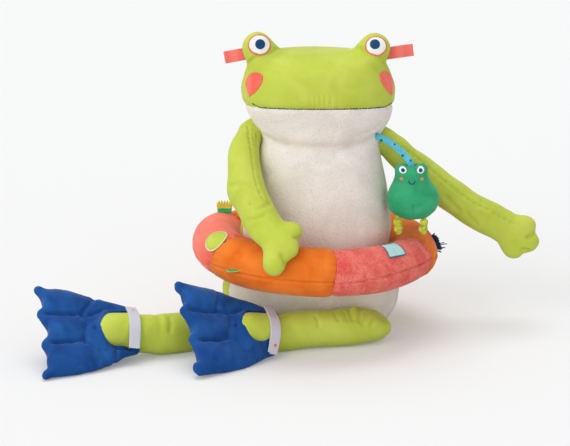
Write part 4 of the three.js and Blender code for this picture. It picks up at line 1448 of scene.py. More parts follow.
@dataclass
class Flipper:
    """One webbed plush flipper with padded lobes, and its elastic heel strap."""

    side: str
    foot: Foot
    lower: Point
    tack: Point
    tack_look: Point
    creases: tuple[Crease, ...]
    length: float = 0.146
    toe_width: float = 0.162
    heel_width: float = 0.086
    bow: float = 0.012
    blade_start: float = 0.6
    lobe_swell: float = 0.003
    channels: Pair = (-1 / 3, 1 / 3)
    channel_depth: float = 0.006
    channel_width: float = 0.003
    tip_swell: float = 0.0036
    tip_reach: float = 0.0065
    ripple: float = 0.0007
    shoe_radius: float = 0.0292
    cut_middle: Pair = (0.032, 0.008)
    cut_half: Pair = (0.024, 0.023)
    heel_reach: float = 0.03
    show_middle: Pair = (0.0355, -0.0038)
    show_half: Pair = (0.023, 0.0272)
    knobs: tuple[Pair, ...] = ((0.143, -0.0715), (0.144, -0.032), (0.143, 0.019), (0.146, 0.0675))
    knob_radius: float = 0.0056
    knob_root: float = 0.112
    tips: tuple[Pair, ...] = (
        (0.0015, -0.002), (0.0035, 0.0), (0.004, -0.002), (0.001, 0.0), (0.003, -0.001),
        (0.006, 0.0), (0.005, 0.001),
    )
    spread: Pair = (0.003, 0.0065)
    strap_turn: float = 6.0
    strap_lift: float = 0.0035
    voxel: float = 0.0017

    def __post_init__(self) -> None:
        """Set up the flipper's own axes."""
        x = self.foot.way
        across = np.array(self.lower) - x * (np.array(self.lower) @ x)
        y = across / np.linalg.norm(across)
        self.axes = np.stack([x, y, np.cross(x, y)])

    def local(self, points: np.ndarray) -> np.ndarray:
        """Places along to the toes, across to the lower edge and out of the upper face."""
        return (points - np.array(self.foot.heel)) @ self.axes.T

    def placed(self, *places: np.ndarray) -> np.ndarray:
        """Turn the flipper's own places, one array for each axis, into the part's."""
        return np.array(self.foot.heel) + np.stack(places, axis=1) @ self.axes

    def knob(self, along: float, across: float) -> bpy.types.Mesh:
        """A padded finger that rounds out one tip."""
        share = np.linspace(0, 1, 8)
        reach = self.knob_root + (along - self.knob_root) * share
        path = self.placed(reach, across * (0.9 + 0.1 * share), 0 * share)
        return swept("knob", [Vector(p) for p in path], round_section(self.knob_radius, 12))

    def shape(self, skin: Skin) -> None:
        """Draw the channels, puff the lobes, round out the tips and sew the shoe to the foot."""
        place = self.local(skin.points)
        along = place[:, 0] / self.length
        half = (self.heel_width + (self.toe_width - self.heel_width) * along) / 2
        half = half + self.bow / 2 * np.sin(np.pi * np.clip(along, 0, 1))
        across = place[:, 1] / half
        fade = 1 / (1 + np.exp(-(along - self.blade_start) / 0.03))
        dome = np.cos(1.5 * np.pi * across) ** 2 * (np.abs(across) < 1)
        offset = self.lobe_swell * dome * fade * np.clip((1.02 - along) / 0.12, 0, 1)
        ends = fade * np.clip((0.95 - along) / 0.07, 0, 1)
        for channel in self.channels:
            gap = (across - channel) * half
            offset -= self.channel_depth * ends * np.exp(-((gap / self.channel_width) ** 2))
        for tip in self.knobs:
            gap = np.linalg.norm(place[:, :2] - np.array(tip), axis=1)
            offset += self.tip_swell * np.exp(-((gap / self.tip_reach) ** 2))
        wave = np.sin(place[:, 0] * 330 + 5 * across) * (1 - across**2)
        skin.press(offset + self.ripple * wave * (along > self.blade_start))
        self.open_shoe(skin)
        skin.crease(self.creases)
        place = self.local(skin.points)
        for stop, (ahead, down) in zip(np.linspace(-1, 1, 7), self.tips):
            near = np.exp(-(((across - stop) / 0.17) ** 2)) * np.clip((along - 0.75) / 0.25, 0, 1)
            place[:, 0] += ahead * near
            place[:, 1] += down * near
        upper, lower = self.spread
        place[:, 1] -= upper * np.clip(-across, 0, 1.1) ** 2 * np.clip((along - 0.42) / 0.25, 0, 1)
        place[:, 1] += lower * np.clip(across, 0, 1.1) ** 2 * np.clip((along - 0.15) / 0.35, 0, 1)
        skin.points = self.placed(*place.T)
        skin.rest_on(0.0003)

    def open_shoe(self, skin: Skin) -> None:
        """Widen the oval that shows the foot and draw its edge in to the foot."""
        place = self.local(skin.points)
        away = np.hypot(place[:, 1], place[:, 2])
        arc = np.arctan2(place[:, 1], place[:, 2]) * self.shoe_radius
        u = (place[:, 0] - self.cut_middle[0]) / self.cut_half[0]
        v = (arc - self.cut_middle[1]) / self.cut_half[1]
        rim = np.hypot(u, v)
        upper = (place[:, 2] > -0.004) & (away < 0.044)
        pull = np.exp(-((np.maximum(rim - 1, 0) / 0.5) ** 2)) * upper
        heelward = np.clip(-u, 0, 0.8)
        reach = np.where(u < 0, self.heel_reach, self.show_half[0])
        along = place[:, 0] + pull * (self.show_middle[0] + u * reach - place[:, 0])
        spread = self.show_half[1] / np.sqrt(1 - heelward**2) * (1 - 0.38 * np.clip(u, 0, 1))
        arc = arc + pull * (self.show_middle[1] + v * spread - arc)
        snug = self.foot.profile(along) + 0.0007
        tight = np.exp(-((np.maximum(rim - 1.1, 0) / 0.3) ** 2)) * upper * (away > snug)
        away = away + tight * (snug - away)
        turn = arc / self.shoe_radius
        skin.points = self.placed(along, away * np.sin(turn), away * np.cos(turn))

    def build(self, nodes: dict[str, bpy.types.Object]) -> None:
        """Build the flipper and its strap."""
        name, body = f"flipper_{self.side}", f"{self.side}_flipper"
        knobs = [self.knob(*knob) for knob in self.knobs]
        skin = Skin.over(
            f"{name}_cover", [nodes[name]], self.voxel, grow=0.0008, rounds=12, extra=knobs,
            filling=Filling(voxel=0.0036, cap=0.0018),
        )
        skin.lumps(0.04, 0.0005, seed=31)
        self.shape(skin)
        obj = skin.dress([BLUE])
        settle(obj, body, name)
        self.strap(nodes[f"flipper_strap_{self.side}"], body)

    def strap(self, node: bpy.types.Object, body: str) -> None:
        """Build the elastic heel strap and its bar tack."""
        strap = Skin.over(
            f"heel_strap_{self.side}", [node], voxel=0.0009, grow=0.0002, rounds=4
        )
        along, y, z = self.local(strap.points).T
        turn = np.arctan2(y, z) + math.radians(self.strap_turn)
        away = np.hypot(y, z) + self.strap_lift * np.clip(y / 0.02, 0, 1)
        strap.points = self.placed(along, away * np.sin(turn), away * np.cos(turn))
        band = settle(strap.dress([PALE]), body, f"flipper_strap_{self.side}")
        Surface(band).patch(
            f"strap_tack_{self.side}", Vector(self.tack), Vector(self.tack_look),
            oval(0.0021, 0.0026, 20), CORAL_THREAD, 0.0005, body,
        )


# ---- Swim ring ----


@dataclass
class SwimRing:
    """The stuffed ring of six panels, with its patches and tags."""

    radius: float = 0.1625
    tube: float = 0.0375
    height: float = 0.1336
    tilt_front: float = -1.0
    tilt_side: float = 2.9
    seams: tuple[float, ...] = (-57.0, 8.3, 70.0, 128.0, 186.0, 244.0)
    names: tuple[str, ...] = ("front_left", "front", "right", "back_right", "back_left", "left")
    cloths: tuple[Finish, ...] = (ORANGE, CORAL_TERRY, ORANGE, CORAL, ORANGE, CORAL)
    pucker: float = 0.0026
    pucker_reach: float = 0.005
    lump: float = 0.0008
    sewn_depth: float = 0.0026
    sewn_ridge: float = 0.0006
    sewn_half: float = 2.1
    top_swells: tuple[Point, ...] = ((-0.009, 232.0, 15.0),)
    bottom_swells: tuple[Point, ...] = ((0.004, -38.0, 24.0), (-0.0055, 62.0, 30.0))
    columns: int = 168
    lines: tuple[tuple[Pair, ...], ...] = (
        ((-60.0, -15.0), (-40.0, -14.0), (-12.9, -11.5), (7.2, -10.5), (14.0, -10.0)),
        (
            (4.0, -15.0), (8.0, -13.9), (19.6, -7.9), (32.7, -0.8), (47.4, 8.2), (67.3, 12.1),
            (76.0, 13.0),
        ),
        ((66.0, 8.0), (100.0, 0.0), (130.0, -6.0)),
        ((126.0, -6.0), (190.0, -6.0)),
        ((184.0, -6.0), (246.0, -6.0)),
        ((242.0, -10.0), (289.6, -24.3), (301.7, -28.1), (306.0, -29.0)),
    )
    label_sides: Pair = (36.5, 47.5)
    label_edges: Pair = (45.0, 96.0)
    label_skew: float = 2.2
    motif_place: Pair = (-59.0, 47.0)
    motif_half: Pair = (6.6, 31.0)
    comb_loops: int = 11
    fringe_threads: int = 72

    def __post_init__(self) -> None:
        """Set up the ring's frame."""
        front = Matrix.Rotation(math.radians(self.tilt_front), 4, "X")
        side = Matrix.Rotation(math.radians(self.tilt_side), 4, "Y")
        self.frame = Matrix.Translation((0, 0, self.height)) @ front @ side

    def skew(self, seam: int, up: float) -> float:
        """Degrees that a seam leans round at an angle up the tube."""
        if seam == 0:
            return 5.5 * math.cos(math.radians(up - 96))
        return 0.6 * math.sin(math.radians(2 * up))

    def swell(self, panel: int, share: float, up: float) -> float:
        """How far the skin stands off the plain tube at a place on a panel."""
        span = (self.seams[(panel + 1) % 6] - self.seams[panel]) % 360
        angle = self.seams[panel] + span * share
        gap = min(share, 1 - share) * math.radians(span) * self.radius
        drawn = self.pucker * math.exp(-((gap / self.pucker_reach) ** 2))
        gathers = self.lump * math.sin(math.radians(up) * 19 + panel) * math.exp(-gap / 0.012)
        lumps = self.lump * math.sin(math.radians(up * 2 + share * 260 + panel * 70))
        level = float(np.interp(angle, *zip(*self.lines[panel])))
        off = ((up - level + 180) % 360 - 180) / self.sewn_half
        wave = 1 + 0.35 * math.sin(angle * 1.7) + 0.2 * math.sin(angle * 4.1)
        sewn = self.sewn_ridge * math.exp(-((abs(off) - 3) ** 2) / 3)
        sewn -= self.sewn_depth * wave * math.exp(-(off**2))
        rise = math.sin(math.radians(up))
        swells = self.top_swells if rise > 0 else self.bottom_swells
        sag = sum(tall * math.exp(-(((angle - at) / wide) ** 2)) for tall, at, wide in swells)
        return lumps + gathers - drawn + sewn + sag * abs(rise)

    def point(self, panel: int, share: float, up: float) -> Vector:
        """A place on a panel.

        Args:
            panel: The panel's number.
            share: Share of the way round the panel.
            up: Degrees up from the outer side.

        Returns:
            The place in the part's frame.
        """
        start = self.seams[panel] + self.skew(panel, up)
        end = self.seams[(panel + 1) % 6] + self.skew((panel + 1) % 6, up)
        if end < start:
            end += 360
        return self.at(start + (end - start) * share, up, self.swell(panel, share, up))

    def at(self, angle: float, up: float, lift: float) -> Vector:
        """A place by degrees round from the front, degrees up the tube and height above it."""
        a, b = math.radians(angle), math.radians(up)
        tube = self.tube + lift
        reach = self.radius + tube * math.cos(b)
        return self.frame @ Vector((reach * math.sin(a), -reach * math.cos(a), tube * math.sin(b)))

    def panel(self, number: int) -> bpy.types.Object:
        """Build one panel as a closed form."""
        span = (self.seams[(number + 1) % 6] - self.seams[number]) % 360
        rows, n = round(span * 1.6), self.columns
        points = [
            self.point(number, r / rows, 360 * c / n) for r in range(rows + 1) for c in range(n)
        ]
        faces = tube_faces(rows + 1, n)[:-2]
        for row in (0, rows):
            middle = sum((points[row * n + c] for c in range(n)), Vector()) / n
            points.append(middle)
            faces += [(row * n + c, row * n + (c + 1) % n, len(points) - 1) for c in range(n)]
        name = f"ring_{self.names[number]}_cover"
        return link(name, mesh_of(name, points, faces))

    def build(self) -> None:
        """Build the ring's panels."""
        for number, finish in enumerate(self.cloths):
            obj = self.panel(number)
            obj.data.materials.append(finish.material())
            settle(obj, "swim_ring", f"ring_panel_{self.names[number]}")

    def label(self) -> None:
        """Sew the blank label on the front panel."""
        (low, high), (down, top) = self.label_sides, self.label_edges
        steps, lift = 16, 0.0012
        points: list[Vector] = []
        for height in (lift, -0.001):
            for r in range(steps + 1):
                for c in range(steps + 1):
                    angle = low + self.label_skew * r / steps + (high - low) * c / steps
                    edge = 0 in (r, c) or steps in (r, c)
                    level = min(height, lift * 0.55) if edge else height
                    points.append(self.at(angle, down + (top - down) * r / steps, level))
        n = steps + 1
        layer = n * n
        faces: list[Face] = []
        for r in range(steps):
            for c in range(steps):
                a = r * n + c
                faces.append((a, a + 1, a + n + 1, a + n))
                faces.append((layer + a, layer + a + n, layer + a + n + 1, layer + a + 1))
        rim = [
            *range(steps), *range(steps, layer - 1, n), *range(layer - 1, layer - n, -1),
            *range(layer - n, 0, -n),
        ]
        faces += [(a, b, layer + b, layer + a) for a, b in zip(rim, [*rim[1:], rim[0]])]
        mesh = mesh_of("blank_label", points, faces)
        piece("blank_label", mesh, LABEL, "swim_ring", "ring_label")
        middle = self.frame.translation
        border = satin([(points[k], (points[k] - middle).normalized()) for k in rim])
        STITCHER.sew("label_border", border, LABEL_THREAD, (0.0008, 0.0022, 0.00055), "swim_ring")

    def motif(self) -> None:
        """Sew an oval patch with a stitched border half under the orange panel."""
        (angle, up), (wide, tall) = self.motif_place, self.motif_half
        lift, outline = 0.0014, round_section(1.0, 40)
        rings = [(1.0, -0.001), (1.0, 0.3 * lift)]
        rings += [(share, lift) for share in (0.97, 0.7, 0.4, 0.1)]
        points = [
            self.at(angle + wide * share * x, up + tall * share * y, height)
            for share, height in rings
            for x, y in outline
        ]
        mesh = mesh_of("motif_patch", points, tube_faces(len(rings), len(outline)))
        piece("motif_patch", mesh, LIME, "swim_ring", "ring_motif")
        middle = self.at(angle, up, -self.tube)
        edge = points[2 * len(outline) : 3 * len(outline)]
        border = satin([(place, (place - middle).normalized()) for place in edge])
        STITCHER.sew("motif_border", border, PALE_THREAD, (0.0008, 0.0026, 0.0006), "swim_ring")

    def leaf(self) -> None:
        """Sew a half-round tab into the outer side."""
        points: list[Vector] = []
        count = 24
        for height, share in ((0.0011, 0.94), (0.0, 1.0), (-0.0011, 0.94)):
            for k in range(count + 1):
                turn = math.pi * k / count
                angle = -40.5 + 4.5 * share * math.cos(turn)
                out = 0.0085 * share * math.sin(turn)
                up = -7.0 - 3.0 * math.sin(turn) + 3.6 * math.cos(turn)
                points.append(self.at(angle, up, out - 0.002) + UP * height)
        n = count + 1
        faces: list[Face] = [
            (k * n + j, k * n + j + 1, (k + 1) * n + j + 1, (k + 1) * n + j)
            for k in range(2)
            for j in range(count)
        ]
        faces += [tuple(range(n)), tuple(range(3 * n - 1, 2 * n - 1, -1))]
        faces.append((0, n, 2 * n, 3 * n - 1, 2 * n - 1, n - 1))
        mesh = mesh_of("leaf_tab_cloth", points, faces)
        piece("leaf_tab_cloth", mesh, GREEN_RIBBON, "swim_ring", "leaf_tab")
        edge = running(points[n : 2 * n])
        STITCHER.sew("leaf_edge", edge, LIME_THREAD, (0.0016, 0.0024, 0.0007), "swim_ring")

    def comb(self) -> None:
        """Sew the comb-edged tag on top of the ring."""
        base = self.at(-110.0, 92.0, -0.001)
        across = Vector((1, 0, 0))
        path = [base + UP * h + FRONT * 0.0008 for h in np.linspace(-0.002, 0.0062, 6)]
        band = swept("comb_tag_band_cloth", path, flat_section(0.0235, 0.0022), FRONT)
        piece("comb_tag_band_cloth", band, GREEN_RIBBON, "swim_ring", "comb_tag_band")
        loops = []
        for k in range(self.comb_loops):
            x = -0.0104 + 0.0208 * k / (self.comb_loops - 1)
            tall = 0.0155 + 0.003 * (k % 2)
            stops = [
                base + across * (x - 0.0007) + UP * 0.004,
                base + across * (x * 1.06 - 0.0008) + UP * tall * 0.7 + FRONT * 0.0006,
                base + across * (x * 1.1) + UP * tall,
                base + across * (x * 1.06 + 0.0008) + UP * tall * 0.7 - FRONT * 0.0006,
                base + across * (x + 0.0007) + UP * 0.004,
            ]
            loops.append(swept("loop", smooth_path(stops, 5), round_section(0.0011, 6), FRONT))
        piece("comb_tag_loops", joined("comb_tag_loops", loops), YELLOW, "swim_ring", "comb_tag")

    def fringe(self) -> None:
        """Sew the navy fringe, with a few longer threads, on the outer side."""
        chance = np.random.default_rng(5)
        threads = []
        for k in range(self.fringe_threads):
            up = 44 - 40 * k / (self.fringe_threads - 1)
            round_by = 90.0 + chance.uniform(-1.8, 1.8)
            long = k > 44 and k % 9 == 0
            reach = chance.uniform(0.0145, 0.018) if long else chance.uniform(0.0055, 0.0085)
            root = self.at(round_by, up, -0.001)
            way = (self.at(round_by, up, 0.02) - root).normalized()
            stray = Vector(chance.normal(size=3)) * (0.0018 if long else 0.0008)
            drop = UP * (-0.0018 if long else -0.0012)
            bend, tip = root + way * reach * 0.5 + stray * 0.4, root + way * reach + stray + drop
            path = smooth_path([root, bend, tip], 4)
            threads.append(swept("thread", path, round_section(0.0008, 5)))
        mesh = joined("fringe_threads", threads)
        piece("fringe_threads", mesh, NAVY_THREAD, "swim_ring", "fringe")


# ---- Hanging toy ----


@dataclass
class HangingToy:
    """The small plush toy, its face, its knotted feet and its spotted ribbon."""

    middle: float = 0.1544
    face: float = 0.151
    depth: float = -0.058
    top: float = 0.2877
    eye_spacing: float = 0.0278
    eye_drop: float = 0.0086
    white_radii: Pair = (0.0054, 0.0044)
    pupil_radii: Pair = (0.003, 0.0025)
    cheek_spacing: float = 0.032
    cheek_drop: float = 0.0134
    smile_half_width: float = 0.005
    smile_drop: float = 0.0248
    smile_dip: float = 0.0042
    strap: tuple[Point, ...] = (
        (0.08, -0.012, 0.326), (0.0965, -0.0345, 0.3255), (0.117, -0.042, 0.3168),
        (0.138, -0.05, 0.301), (0.15, -0.057, 0.286), (0.151, -0.058, 0.276),
    )
    strap_width: float = 0.011
    strap_thickness: float = 0.0014
    spots: tuple[tuple[int, float], ...] = (
        (8, 0.002), (15, -0.0025), (23, 0.0015), (31, -0.002), (38, 0.0018), (45, -0.0015),
    )
    feet_across: Pair = (0.0165, -0.0235)
    nudges: tuple[Nudge, ...] = (
        nudge((150.5, -56, 290.7), (0, 0, -17), 9),
        nudge((130, -58, 283), (4.2, 0, 0), 11),
        nudge((173, -58, 283), (-1.6, 0, 0), 11),
        nudge((126.4, -60, 220), (-1.2, 0, 0), 20),
        nudge((182.4, -60, 220), (1.5, 0, 0), 20),
    )
    creases: tuple[Crease, ...] = (
        crease(
            1.2, 1.3, (154.4, -88, 225), (154.4, -86, 210), (154.4, -76, 198), (154.4, -58, 195),
            pucker=0.3, pitch=5,
        ),
        crease(0.8, 3, (138.4, -74, 282), (151, -78, 276), (164.4, -74, 282)),
    )

    def build(self, nodes: dict[str, bpy.types.Object]) -> None:
        """Build the toy."""
        skin = Skin.over(
            "toy_cover", [nodes["toy_body"]], voxel=0.0012, grow=0.0005, rounds=14,
            filling=Filling(voxel=0.003, cap=0.0012, shrink=0.0005),
        )
        skin.nudge(self.nudges)
        skin.crease(self.creases)
        skin.lumps(0.03, 0.0004, seed=41)
        obj = skin.dress([GREEN])
        settle(obj, "hanging_toy", "toy_body")
        surface = Surface(obj)
        for name, side in SIDES.items():
            self.sew_eye(surface, name, side)
        self.sew_smile(surface)
        self.feet()
        self.ribbon()

    def sew_eye(self, surface: Surface, name: str, side: float) -> None:
        """Sew one eye and the cheek under it.

        Args:
            surface: The toy's skin.
            name: The side's name.
            side: One for the left, minus one for the right.
        """
        body, height = "hanging_toy", self.top - self.eye_drop
        at = Vector((self.face + side * self.eye_spacing / 2, self.depth, height))
        white, edge = surface.patch(
            f"toy_eye_{name}", at, FRONT, oval(*self.white_radii, 32), WHITE, 0.0009,
            body, f"toy_eye_white_{name}",
        )
        sizes = (0.0004, 0.001, 0.0003)
        STITCHER.sew(f"toy_eye_border_{name}", satin(edge), GREY_THREAD, sizes, body)
        Surface(white).patch(
            f"toy_pupil_{name}_patch", at, FRONT, oval(*self.pupil_radii, 24), NAVY, 0.0008,
            body, f"toy_pupil_{name}",
        )
        across = self.face + side * self.cheek_spacing / 2
        surface.patch(
            f"toy_cheek_{name}_patch", Vector((across, self.depth, height - self.cheek_drop)),
            FRONT, round_section(0.0027, 20), BLUSH, 0.0007, body, f"toy_cheek_{name}",
        )

    def sew_smile(self, surface: Surface) -> None:
        """Stitch the smile."""
        smile = []
        for share in np.linspace(-1, 1, 17):
            height = self.top - self.smile_drop - self.smile_dip * (1 - share**4)
            origin = Vector((self.face + self.smile_half_width * share, -RAY_START, height))
            smile.append(surface.hit(origin, -FRONT, 0.0003)[0])
        sizes = (0.0009, 0.0015, 0.0008)
        STITCHER.sew("toy_smile", running(smile), NAVY_THREAD, sizes, "hanging_toy")

    def knot(self, middle: Vector, size: float) -> list[Vector]:
        """Points of a cord tied in a knot."""
        made = []
        for k in range(37):
            t = 2 * math.pi * k / 36 + 0.5
            x = size * (math.sin(t) + 2 * math.sin(2 * t)) / 2
            y = size * math.sin(3 * t)
            z = size * (math.cos(t) - 2 * math.cos(2 * t)) / 2
            made.append(middle + Vector((x, y, z)))
        return made

    def feet(self) -> None:
        """Tie the two knotted feet."""
        for (name, side), across in zip(SIDES.items(), self.feet_across):
            hip = Vector((self.middle + across, -0.0625, 0.2055))
            first = hip + Vector((side * 0.001, -0.012, -0.0125))
            second = first + Vector((side * -0.0015, -0.004, -0.0105))
            tail = second + Vector((side * 0.002, -0.001, -0.0075))
            knots = [*self.knot(first, 0.0027), *self.knot(second, 0.0031)]
            path = smooth_path([hip, hip.lerp(first, 0.4), *knots, tail], 2)
            mesh = swept(f"toy_foot_{name}_cord", path, round_section(0.0033, 10))
            piece(f"toy_foot_{name}_cord", mesh, CORD, "hanging_toy", f"toy_foot_{name}")

    def ribbon(self) -> None:
        """Sew the spotted ribbon from the neck to the toy's top."""
        path = smooth_path(self.strap, 10)
        section = flat_section(self.strap_width, self.strap_thickness)
        mesh = swept("toy_ribbon", path, section, FRONT)
        surface = Surface(piece("toy_ribbon", mesh, TURQUOISE, "hanging_toy", "toy_strap"))
        for k, (step, shift) in enumerate(self.spots):
            outline = round_section(0.0018 + 0.0004 * (k % 2), 16)
            place = path[step] + Vector((shift, 0, shift))
            surface.patch(
                f"ribbon_spot_{k}", place, FRONT, outline, TEAL, 0.0003, "hanging_toy"
            )


# ---- Studio ----


@dataclass
class Studio:
    """Camera, floor and soft light."""

    elevation: float = 15.0
    distance: float = 3.5
    rise: float = 0.16665
    shift: float = -0.0495
    focal_pixels: float = 2121.0
    image_width: float = 570.0
    sensor: float = 36.0
    floor_size: float = 60.0
    floor_tone: float = 0.68
    floor_glow: float = 0.182
    world_strength: float = 0.6
    suns: tuple[tuple[str, float, float, float, float], ...] = (
        ("key", -50.0, 22.0, 1.36, 60.0),
        ("front", 12.0, 8.0, 0.52, 70.0),
        ("top", -174.0, 72.0, 1.08, 40.0),
    )

    def camera(self) -> None:
        """Place the camera at the photograph's angle."""
        e = math.radians(self.elevation)
        forward = Vector((0, math.cos(e), -math.sin(e)))
        up = Vector((0, math.sin(e), math.cos(e)))
        data = bpy.data.cameras.new("camera")
        data.sensor_width = self.sensor
        data.lens = self.focal_pixels * self.sensor / self.image_width
        data.clip_start, data.clip_end = 0.1, 100.0
        cam = bpy.data.objects.new("camera", data)
        cam.location = forward * -self.distance + up * self.rise + Vector((self.shift, 0, 0))
        cam.rotation_euler = (math.pi / 2 - e, 0, 0)
        bpy.context.scene.collection.objects.link(cam)
        bpy.context.scene.camera = cam

    def floor(self) -> None:
        """Lay the pale floor."""
        half = self.floor_size / 2
        mesh = bpy.data.meshes.new("floor")
        corners = [(-half, -half, 0), (half, -half, 0), (half, half, 0), (-half, half, 0)]
        mesh.from_pydata(corners, [], [(0, 1, 2, 3)])
        obj = link("floor", mesh)
        made = bpy.data.materials.new("floor_paper")
        made.use_nodes = True
        shader = made.node_tree.nodes["Principled BSDF"]
        tone = self.floor_tone
        shader.inputs["Base Color"].default_value = (tone * 0.99, tone * 0.995, tone, 1)
        shader.inputs["Roughness"].default_value = 1.0
        shader.inputs["Specular IOR Level"].default_value = 0.0
        w = Wiring(made.node_tree)
        seen = w.add("ShaderNodeLightPath").outputs
        direct = w.maths("MAXIMUM", seen["Is Camera Ray"], seen["Is Glossy Ray"])
        direct = w.maths("MAXIMUM", direct, seen["Is Transmission Ray"])
        glow = w.maths("MULTIPLY", direct, self.floor_glow)
        made.node_tree.links.new(glow, shader.inputs["Emission Strength"])
        shader.inputs["Emission Color"].default_value = (1, 1, 1, 1)
        mesh.materials.append(made)

    def lamps(self) -> None:
        """Light the set with soft suns and a pale world."""
        for name, azimuth, elevation, strength, spread in self.suns:
            data = bpy.data.lights.new(name, "SUN")
            data.energy = strength
            data.angle = math.radians(spread)
            lamp = bpy.data.objects.new(name, data)
            lamp.rotation_mode = "QUATERNION"
            lamp.rotation_quaternion = (gaze(azimuth, elevation)).to_track_quat("Z", "Y")
            bpy.context.scene.collection.objects.link(lamp)
        world = bpy.data.worlds.new("studio")
        world.use_nodes = True
        back = world.node_tree.nodes["Background"]
        back.inputs["Color"].default_value = (1, 1, 1, 1)
        back.inputs["Strength"].default_value = self.world_strength
        bpy.context.scene.world = world

    def build(self) -> None:
        """Build the studio."""
        self.camera()
        self.floor()
        self.lamps()
        bpy.context.scene.view_settings.view_transform = "Standard"


EYES = (
    Eye(
        "left", white_look=(4, 19), pupil_look=(-2, 24), height=0.466,
        white_radii=(0.0154, 0.0138),
    ),
    Eye("right", white_look=(9, 19), pupil_look=(10, 19), height=0.468),
)
CHEEKS = (Cheek("left", azimuth=70), Cheek("right", azimuth=-62))
EAR_TAGS = (
    EarTag("left", height=0.453, rise=0.13, reach=0.037),
    EarTag("right", height=0.459, rise=0.2, reach=0.029),
)
LEFT_ARM = Arm(
    "left",
    axis=(
        (0.13, 0.01, 0.296), (0.1872, 0.0296, 0.2374), (0.2539, 0.0296, 0.1879),
        (0.3095, 0.0296, 0.1563), (0.3496, 0.0296, 0.129),
    ),
    facing=(0, -1, 0),
    shoulder=((0.13, 0.01, 0.296), (0.116, 0.006, 0.306), (0.098, 0.002, 0.314)),
    shoulder_radius=0.0225,
    blend_start=(0.108, 0.008, 0.31),
    blend_end=(0.142, 0.012, 0.288),
    folds=(
        Fold(0.05, 20, 70, 0.0014, 0.004, 60),
        Fold(0.085, -30, 60, 0.0012, 0.004, -50),
        Fold(0.12, 10, 80, 0.0016, 0.004, 70),
        Fold(0.15, -20, 60, 0.0012, 0.003, 40),
        Fold(0.175, 25, 60, 0.0014, 0.004, -60),
    ),
    seams=(Seam(150.0, 0.0, 0.2),),
    creases=(
        crease(
            2.2, 2.2, (108, -16, 322), (127.3, -16.5, 309), (168.6, 0, 278), (202.4, 7, 248.6),
            (251.9, 7, 208.7), (302.1, 14.5, 180.1), (329, 16, 165.5), pucker=0.45, pitch=12,
        ),
        crease(3.4, 3, (362, 20, 149), (356, 16, 147), (349, 16, 144)),
        crease(3.4, 3, (354, 20, 116), (350, 16, 119), (342, 16, 123)),
        crease(3, 4, (277, 8, 214), (281, 4, 206), (288, 4, 199)),
        crease(2, 4, (146, 0, 276), (160, -6, 262), (178, -4, 254)),
        crease(1.8, 4, (212, -4, 214), (222, -2, 202), (232, 2, 192)),
        crease(2, 4, (246, -2, 188), (253, 0, 176), (262, 6, 168)),
    ),
    nudges=(
        nudge((157, 20, 312), (-2, 0, -8), 30),
        nudge((231, 20, 238), (0, 0, 4), 45),
        nudge((299, 20, 194), (1, 0, 7), 30),
        nudge((352, 30, 162), (9, 0, 1), 20),
        nudge((360, 30, 131), (6, 0, 0), 18),
        nudge((322, 30, 106), (6, 0, 4), 20),
        nudge((325, 30, 175), (0, 0, 3.5), 14),
    ),
)
RIGHT_ARM = Arm(
    "right",
    axis=(
        (-0.1106, -0.005, 0.325), (-0.1156, -0.03, 0.303), (-0.1097, -0.065, 0.277),
        (-0.1038, -0.0944, 0.2471), (-0.091, -0.1227, 0.2216), (-0.0738, -0.1489, 0.2015),
        (-0.0661, -0.1674, 0.1928), (-0.044, -0.187, 0.1815),
    ),
    facing=(-0.15, -0.5, 0.85),
    shoulder=((-0.1106, -0.005, 0.325), (-0.102, -0.002, 0.33), (-0.092, 0.0, 0.33)),
    shoulder_radius=0.0175,
    blend_start=(-0.099, -0.002, 0.33),
    blend_end=(-0.116, -0.016, 0.312),
    folds=(
        Fold(0.125, -35, 55, 0.0012, 0.004, 40),
        Fold(0.15, 0, 60, 0.0012, 0.004, -40),
    ),
    seams=(Seam(180.0, 0.0, 0.2),),
    creases=(
        crease(
            1.8, 1.8, (-108.7, -18.4, 338.2), (-103.4, -60.9, 308.6), (-98.3, -92.7, 283.7),
            (-95, -110, 266.9), (-84, -132, 247), pucker=0.4, pitch=11,
        ),
        crease(
            1.6, 1.7, (-95.9, -20.8, 325.6), (-91, -52, 306), (-87.4, -78.6, 285.2), pucker=0.35,
            pitch=11,
        ),
        crease(2.6, 3.5, (-131.4, -95.8, 256.9), (-113.7, -112.4, 264.3), (-98, -117, 262.2)),
        crease(2.6, 3.5, (-102.5, -137.3, 240), (-86.8, -143.6, 235.2), (-72.9, -132, 238.6)),
        crease(2.2, 3.2, (-105.5, -148, 217), (-93, -153.9, 220.2), (-82.1, -153.6, 223.3)),
        crease(3, 3, (-21, -174, 193), (-26, -176, 195.1), (-35, -182, 197.5)),
        crease(3, 3, (-44, -204, 161), (-49, -203, 164), (-55, -198.5, 174)),
    ),
    nudges=(
        nudge((-133, -12, 326), (4, 0, 0), 22),
        nudge((-124, -12, 347), (4, 0, -1), 18),
        nudge((-94, -14, 318), (5, 0, 0), 18),
        nudge((-131, -85, 235), (-6.2, 0, 0), 27),
        nudge((-60, -165, 182), (0, -1.2, 1.4), 50),
        nudge((-100, -145, 190), (-6.2, -1, -2), 27),
        nudge((-112, -75, 263), (-6, 0, 0), 45),
        nudge((-34, -170, 206), (4, 0, 2.5), 22),
        nudge((-40, -197, 177), (5, -2, -1), 18),
        nudge((-69.2, -200, 155), (4, -2, -8), 22),
    ),
)
ARMS = (LEFT_ARM, RIGHT_ARM)
LEFT_FOOT = Foot(heel=(-0.0744, -0.1477, 0.0351), toes=(-0.8594, -0.4744, 0.1908))
RIGHT_FOOT = Foot(heel=(-0.2871, -0.1641, 0.0412), toes=(-0.9391, -0.3289, 0.0993))
